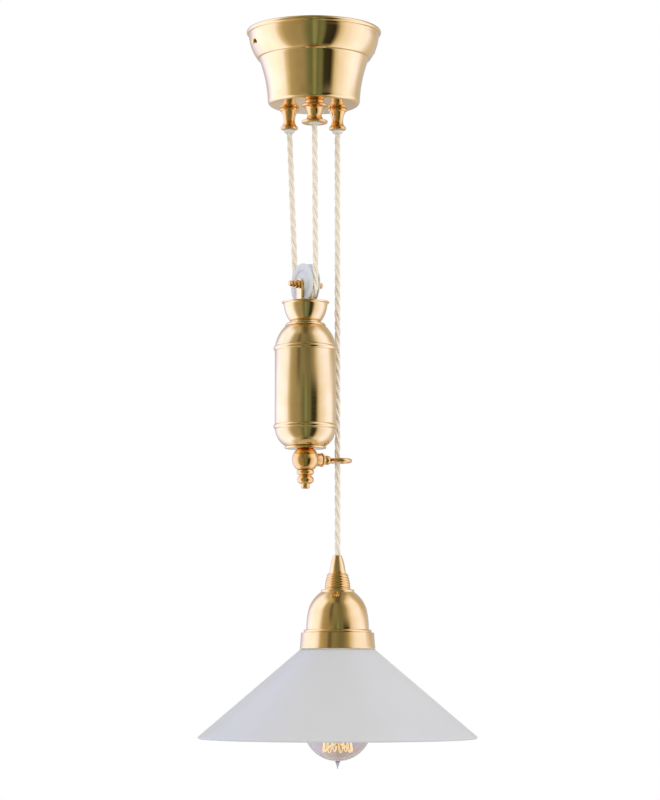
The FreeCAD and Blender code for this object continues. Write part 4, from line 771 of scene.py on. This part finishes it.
# the guide ring: shank, knuckle and ring, with the knurled nut that locks it
guide = {"shank": 2.0, "shankIn": 7.7, "knuckle": 4.0, "knuckleReach": 21.5, "reach": 34.1, "ring": 8.95,
         "wire": 1.9, "lock": 5.9, "lockLong": 2.2, "knurls": 40, "knurlDeep": 0.045}
shank, knuckle, ringStart = guide["shank"], guide["knuckle"], guide["reach"] - guide["ring"]
knuckleAt, knuckleHalf, shankBack = guide["knuckleReach"], knuckle * 0.866, reach - guide["shankIn"]
shankShape = levelLathe([
    (shankBack, 0), (shankBack, shank), (knuckleAt - knuckleHalf, shank),
    (knuckleAt, knuckle, knuckle * 0.12), (knuckleAt + knuckleHalf, shank, knuckle * 0.12),
    (ringStart, shank * 0.8), (ringStart, 0)], steps=56)
hoop = bmesh.new()
bmesh.ops.create_circle(hoop, segments=28, radius=guide["wire"])
turnPiece(hoop, math.pi / 2, "X")
bmesh.ops.translate(hoop, verts=hoop.verts, vec=(guide["ring"], 0, 0))
bmesh.ops.spin(hoop, geom=hoop.verts[:] + hoop.edges[:], cent=(0, 0, 0), axis=(0, 0, 1), angle=2 * math.pi,
               steps=96, use_merge=True)
bmesh.ops.recalc_face_normals(hoop, faces=hoop.faces)
bmesh.ops.translate(hoop, verts=hoop.verts, vec=(guide["reach"], 0, 0))
finishPiece(joined([shankShape, hoop]), "guide_ring_brass", "guide", "deepBrass", ["guide_ring"],
            place=(weightX, weightY, ballZ), turn=guideLine)

lockStart, lock = reach + 0.05, guide["lock"]
lockEnd = lockStart + guide["lockLong"]
lockNut = levelLathe([
    (lockStart, shankBore), (lockStart, lock - 0.4), (lockStart + 0.4, lock), (lockEnd - 0.4, lock),
    (lockEnd, lock - 0.4), (lockEnd, shankBore)], steps=guide["knurls"] * 2, edgeRound=0)
for vert in lockNut.verts:
    onRim = math.hypot(vert.co.y, vert.co.z) > lock - 0.2
    if onRim and round(math.atan2(vert.co.z, vert.co.y) / (math.pi / guide["knurls"])) % 2:
        vert.co.y *= 1 - guide["knurlDeep"]
        vert.co.z *= 1 - guide["knurlDeep"]
finishPiece(lockNut, "lock_nut", "guide", "deepBrass", ["guide_lock_nut"], place=(weightX, weightY, ballZ),
            turn=guideLine, smooth=12)
print("stage: counterweight made")


# ---- lamp
lamp = {
    "flexHole": 2.8, "coneTip": 3.9, "coneFoot": 7.0, "coneSwell": 0.5, "nippleIn": 7.65, "taperIn": 11.4,
    "nipple": 5.1, "ribTop": 8.6, "ribFoot": 10.9, "ribs": 5, "wall": 1.0, "domeTop": 14.2, "domeMid": 24.7,
    "domeMidDrop": 16.5, "domeRadius": 26.65, "step": 28.75, "stepHigh": 2.5, "galleryTop": 31.05,
    "galleryFoot": 31.9, "galleryLip": 0.4,
}


def lampPiece(outline, name, node, material="lampBrass", body="lamp", steps=112, arcSteps=10,
              edgeRound=0.12):
    finishPiece(lathe(outline, steps=steps, arcSteps=arcSteps, edgeRound=edgeRound), name, body,
                material, [node], place=(rightX, rightY, 0))


coneTop, coneLow = topAndLow("cord_grip_cone")
nipple, tip = lamp["nipple"], lamp["coneTip"]
lampPiece([
    (lamp["flexHole"], coneTop), (tip - 0.9, coneTop), (tip, coneTop - 1.0, 0.3),
    (lamp["coneFoot"], coneLow, lamp["coneSwell"]), (nipple, coneLow), (nipple, coneLow + lamp["nippleIn"]),
    (lamp["flexHole"], coneLow + lamp["taperIn"])], "grip_cone", "cord_grip_cone", steps=72)

collarHigh, collarLow = topAndLow("ribbed_collar")
ribTop, ribFoot, ribs = lamp["ribTop"], lamp["ribFoot"], lamp["ribs"]
ribbed = [(nipple, collarHigh), (ribTop - 0.8, collarHigh), (ribTop, collarHigh - 1.2, 0.3)]
ribPitch = (collarHigh - collarLow - 2.6) / ribs
for index in range(1, ribs + 1):
    share = index / ribs
    ribRadius = ribTop + (ribFoot - ribTop) * share * (2 - share)
    ribbed.append((ribRadius - 0.3, collarHigh - 1.2 - ribPitch * index, 0.4))
ribbed += [(ribFoot, collarLow, 0.3), (nipple, collarLow)]
lampPiece(ribbed, "turned_collar", "ribbed_collar", "deepBrass", steps=80, edgeRound=0)

shoulderTop, galleryTop = topAndLow("lamp_dome")
lampPiece(shellOutline([
    (nipple, shoulderTop, 0, 0, -1), (lamp["domeTop"] - 0.6, shoulderTop, 0, 0, -1),
    (lamp["domeTop"] - 0.1, shoulderTop - 2.0, 0.4),
    (lamp["domeMid"], shoulderTop - lamp["domeMidDrop"], 1.5),
    (lamp["domeRadius"], galleryTop, 0.5)], lamp["wall"]), "dome", "lamp_dome")

_, galleryLow = topAndLow("shade_gallery")
stepLow = galleryTop - lamp["stepHigh"]
holder = {
    "radius": 19.6, "inside": 14.1, "neck": 8.0, "neckHigh": 1.5, "brow": 17.1, "browDrop": 4.0,
    "shoulderDrop": 6.0, "chamber": 5.5, "chamberHigh": 4,
}
lampPiece(shellOutline([
    (holder["radius"] + 0.3, galleryTop, 0, 0, -1), (lamp["step"] - 0.5, galleryTop, 0, 1, -1),
    (lamp["step"] - 0.2, stepLow, 0.5, 1, -1), (lamp["galleryTop"], stepLow, 0, 1, -1),
    (lamp["galleryFoot"], galleryLow + 1.2),
    (lamp["galleryFoot"] + lamp["galleryLip"], galleryLow)], lamp["wall"]), "gallery",
    "shade_gallery")

holderTop, holderLow = topAndLow("lampholder_body")
shellTop, _ = topAndLow("lampholder_shell")
lampPiece([
    (nipple, holderTop), (holder["neck"], holderTop), (holder["neck"], holderTop - holder["neckHigh"]),
    (holder["brow"], holderTop - holder["browDrop"], 1.0),
    (holder["radius"], holderTop - holder["shoulderDrop"], 0.4), (holder["radius"], holderLow),
    (holder["inside"], holderLow), (holder["inside"], shellTop), (holder["chamber"], shellTop),
    (holder["chamber"], shellTop + holder["chamberHigh"]), (nipple, shellTop + holder["chamberHigh"])],
    "porcelain_holder", "lampholder_body", "porcelain", edgeRound=0.35)
for node, name in (("lampholder_shell", "holder_shell"), ("gallery_ring_nut", "upper_ring"),
                   ("nipple_nut", "dome_nut"), ("centre_contact", "contact_plate")):
    dressNode(node, name, "lamp", "lampBrass", 0.15)

ring = {"bore": 19.7, "flange": 27.0, "flangeHigh": 1.4, "grip": 22.6, "gripStart": 1.8, "gripFoot": 22.2}
ringTop, ringLow = topAndLow("shade_ring_nut")
lampPiece([
    (ring["bore"], ringTop), (ring["flange"], ringTop), (ring["flange"], ringTop - ring["flangeHigh"], 0.3),
    (ring["grip"], ringTop - ring["gripStart"]), (ring["gripFoot"], ringLow, 0.2), (ring["bore"], ringLow)],
    "lower_ring", "shade_ring_nut")

# opal cone shade, thick glass with a fire-rounded rim
shade = {"hole": 20.3, "top": 32.0, "rim": 118.5, "wall": 3.0}
shadeTop, shadeLow = topAndLow("glass_shade")
wall, flare, fall = shade["wall"], shade["rim"] - shade["top"], shadeTop - shadeLow
across = wall * math.hypot(flare, fall) / fall
lampPiece([
    (shade["hole"], shadeTop), (shade["top"] - 0.8, shadeTop), (shade["top"] + 0.6, shadeTop - 0.9, 0.2),
    (shade["rim"], shadeLow + 0.6), (shade["rim"] - across + 1.0, shadeLow, 1.2),
    (shade["top"] - across + wall * flare / fall, shadeTop - wall), (shade["hole"], shadeTop - wall)],
    "opal_shade", "glass_shade", "opal", steps=180, edgeRound=0.3)
print("stage: lamp made")


# ---- bulb
bulb = {
    "inside": 12.3, "insideHigh": 8, "neck": 14.4, "neckHigh": 10.0, "neckSwell": 2.4, "shoulder": 24.9,
    "radius": 29.2, "drop": 55.4, "wall": 0.8, "pip": 2.4, "pipLong": 6.2, "cap": 13.1, "capTop": 10.7,
    "capInside": 11.8, "turns": 6, "threadPitch": 3.6, "threadRoot": 12.3,
    # the stem's outline: radii, drops from its top and swells, then heights over its foot
    "stemUpper": ((0, 0), (11.3, 0), (11.3, 1.5), (5.2, 9.0, -1.6), (3.2, 24.0), (1.6, 29.0, 0.5)),
    "stemLower": ((1.6, 4.0), (2.4, 2.6, -0.2), (2.4, 1.4), (1.0, 0, 0.3), (0, 0)),
    "loops": 8, "thread": 0.32, "cageTop": 7.5, "cage": 12.5,
}
capTop, capLow = topAndLow("bulb_cap")
glassRadius, shoulder, wall = bulb["radius"], bulb["shoulder"], bulb["wall"]
inside, neck, neckLow = bulb["inside"], bulb["neck"], capLow - bulb["neckHigh"]
ballCentre = capLow - bulb["drop"]
shoulderDown = math.sqrt(glassRadius ** 2 - shoulder ** 2)
glassLow = ballCentre - glassRadius
pipRoot = bulb["pip"] + 1.2
pipSeat = ballCentre - math.sqrt(glassRadius ** 2 - pipRoot ** 2)
pipEnd = glassLow - bulb["pipLong"]
upperSwell = arcSwell(glassRadius, glassRadius - shoulder, shoulderDown)
lampPiece([
    (inside - wall, capLow + bulb["insideHigh"]), (inside, capLow + bulb["insideHigh"]), (inside, capLow),
    (neck, capLow - 3.0, 0.3), (neck + 0.4, neckLow),
    (shoulder, ballCentre + shoulderDown, -bulb["neckSwell"]),
    (glassRadius, ballCentre, upperSwell),
    (pipRoot, pipSeat, arcSwell(glassRadius, glassRadius - pipRoot, ballCentre - pipSeat)),
    (bulb["pip"] - 0.6, glassLow - 1.2, -0.5), (0.7, pipEnd, -0.2), (0, pipEnd - 0.3), (0, glassLow + wall),
    (glassRadius - wall, ballCentre, -(glassRadius - wall) * quarterSwell),
    (shoulder - wall, ballCentre + shoulderDown, -upperSwell),
    (neck + 0.4 - wall, neckLow, bulb["neckSwell"]),
    (neck - wall, capLow - 3.0), (inside - wall, capLow, -0.3)],
    "pear_glass", "bulb_glass", "bulbGlass", body="bulb", steps=128, arcSteps=18, edgeRound=0)

cap, root, pitch = bulb["cap"], bulb["threadRoot"], bulb["threadPitch"]
capThread = [(0, capTop), (bulb["capTop"], capTop), (cap - 0.3, capTop - 2.2, 0.3)]
for index in range(bulb["turns"]):
    start = capTop - 2.4 - index * pitch
    capThread += [(root, start, -0.25), (cap, start - pitch / 2, 0.3), (root, start - pitch + 0.2, 0.3)]
capThread += [(cap, capLow), (cap - 0.5, capLow), (bulb["capInside"], capTop - 2.7),
              (bulb["capTop"] - 0.5, capTop - 0.5), (0, capTop - 0.5)]
lampPiece(capThread, "threaded_cap", "bulb_cap", body="bulb", steps=80, arcSteps=4, edgeRound=0)

stemHigh, stemLow = topAndLow("bulb_stem")
stemOutline = [(radius, stemHigh - fall, *swell) for radius, fall, *swell in bulb["stemUpper"]]
stemOutline += [(radius, stemLow + rise, *swell) for radius, rise, *swell in bulb["stemLower"]]
lampPiece(stemOutline, "glass_stem", "bulb_stem", "stemGlass", body="bulb", steps=56, edgeRound=0)

cageHigh, cageLow = topAndLow("bulb_filament")
wires = []


def cageSpot(reachMm, share, z):
    # share counts the legs of the hairpins round the cage
    angle = math.pi / bulb["loops"] * share
    return Vector((rightX + reachMm * math.cos(angle), rightY + reachMm * math.sin(angle), z)) * mm


for index in range(bulb["loops"]):
    middle = 2 * index + 0.5
    top, wide = bulb["cageTop"], bulb["cage"]
    rising = [(top, 1.0, cageHigh - 0.4), (top + 0.4, 0.85, cageHigh - 3), (wide, 0.35, cageLow + 4),
              (wide, 0.2, cageLow + 0.4)]
    hairpin = [cageSpot(out, middle - away, z) for out, away, z in rising]
    hairpin += [cageSpot(out, middle + away, z) for out, away, z in reversed(rising)]
    hook = [cageSpot(out, middle, z) for out, z in (
        (2.4, stemLow + 2), (6, stemLow + 1.4), (wide - 1, cageLow + 0.7), (wide, cageLow + 0.5))]
    for points, thickness in ((hairpin, bulb["thread"]), (hook, bulb["thread"] * 0.8)):
        wires.append(curveMesh(points, radius=thickness * mm, sides=1, smooth=5))
cage = asMesh(gathered(wires), "squirrel_cage")
finishMesh(cage, "squirrel_cage", "bulb", "carbon", ["bulb_filament"], smooth=60)
print("stage: bulb made")


# ---- the CAD nodes that stay, with their finishes
keptFinish = {
    "zincSteel": ("sheave_axle", "sheave_axle_clips", "tie_rod", "tie_rod_nut"),
    "castIron": ("ballast_slugs",), "deepBrass": ("cord_ferrule", "terminal_screws"),
    "lampBrass": ("threaded_nipple", "bulb_contact"), "blackGlass": ("bulb_insulator",),
    "fibre": ("rim_gasket",),
}
for material, nodes in keptFinish.items():
    for node in nodes:
        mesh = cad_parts[node].data
        mesh.materials.clear()
        mesh.materials.append(finish[material])


# ---- studio: a pale floor far below, plain white all round, and a room that only the brass mirrors
floorMesh = bmesh.new()
bmesh.ops.create_circle(floorMesh, cap_ends=True, segments=96, radius=studio["floorRadius"])
floorData = asMesh(floorMesh, "floor")
floorMaterial, floorTree, floorPlace = newMaterial("pale_floor")
floorData.materials.append(surfaced(floorMaterial, {
    "Base Color": patchyColour(floorTree, floorPlace, "#f2f1ee", "#ecebe8", 300, 0.5), "Roughness": 0.6}))
floor = bpy.data.objects.new("floor", floorData)
floor.location = (0, 0, -studio["floorDrop"])
scene.collection.objects.link(floor)
floor.visible_glossy = False      # the brass mirrors the room instead of the floor

world = bpy.data.worlds.new("studio")
scene.world = world
world.use_nodes = True
tree = world.node_tree
tree.nodes.clear()
look = addNode(tree, "ShaderNodeTexCoord").outputs["Generated"]
towards = addNode(tree, "ShaderNodeSeparateXYZ", {"Vector": look}).outputs
bearing = calc(tree, "ARCTAN2", towards["X"], calc(tree, "MULTIPLY", towards["Y"], -1.0))


def roomColour(bright, olive=0):
    # daylight through the windows is cooler than the room, and whitens the brass where it is brightest
    cool = max(0.0, min(1.0, (bright - 0.5) / 0.65)) ** 2
    tint = Vector((1, 1, 1)) + Vector(studio["daylight"]) * cool
    tint = tint.lerp(Vector(studio["olive"]), olive)
    return (*(tint * bright / studio["roomTop"]), 1)


def roomRamp(value, name, reach):
    # reach is the value, and limit the stop's place, at the ramp's right end
    limit = studio[name][-1][0]
    ramp = addNode(tree, "ShaderNodeValToRGB", {"Fac": spread(tree, value, -reach, reach)})
    stops = ramp.color_ramp.elements
    while len(stops) > 1:
        stops.remove(stops[-1])
    for index, (where, *colour) in enumerate(studio[name]):
        spot = where / limit / 2 + 0.5
        stop = stops[0] if index == 0 else stops.new(spot)
        stop.position = spot
        stop.color = roomColour(*colour)
    return ramp.outputs["Color"]


def fadeBetween(value, start, end):
    return spread(tree, value, start, end, interpolation_type="SMOOTHSTEP")


level, low = roomRamp(bearing, "level", math.pi), roomRamp(bearing, "low", math.pi)
steep = roomRamp(towards["X"], "steep", 1.0)
sides = mixColour(tree, fadeBetween(towards["Z"], *studio["levelFade"]), low, level)
tall = calc(tree, "ABSOLUTE", towards["Z"])
whole = mixColour(tree, fadeBetween(tall, *studio["steepFade"]), sides, steep)
room = addNode(tree, "ShaderNodeBackground", {"Color": whole, "Strength": studio["roomTop"]})
plain = addNode(tree, "ShaderNodeBackground", {"Color": (1, 1, 1, 1),
                                               "Strength": studio["backgroundBright"]})
mirrored = addNode(tree, "ShaderNodeLightPath").outputs["Is Glossy Ray"]
shown = addNode(tree, "ShaderNodeMixShader", {"Fac": mirrored, 1: plain.outputs["Background"],
                                              2: room.outputs["Background"]})
addNode(tree, "ShaderNodeOutputWorld", {"Surface": shown.outputs["Shader"]})

lights = {
    "left": {"place": (-1.3, -0.9, 0.3), "size": (0.5, 1.2), "watts": 0.7},
    "right": {"place": (1.5, -0.7, 0.1), "size": (0.5, 1.2), "watts": 4.0},
    "top": {"place": (0.1, -0.6, 1.3), "size": (1.2, 1.2), "watts": 1.3},
}
for name, light in lights.items():
    data = bpy.data.lights.new(name, "AREA")
    data.shape = "RECTANGLE"
    data.size, data.size_y = light["size"]
    data.energy = light["watts"]
    data.color = (1.0, 0.98, 0.95)
    softbox = bpy.data.objects.new(name + "_softbox", data)
    softbox.location = light["place"]
    softbox.visible_glossy = False
    aim = Vector((0, 0, -0.3)) - Vector(light["place"])
    softbox.rotation_euler = aim.to_track_quat("-Z", "Y").to_euler()
    scene.collection.objects.link(softbox)
print("stage: studio lit")
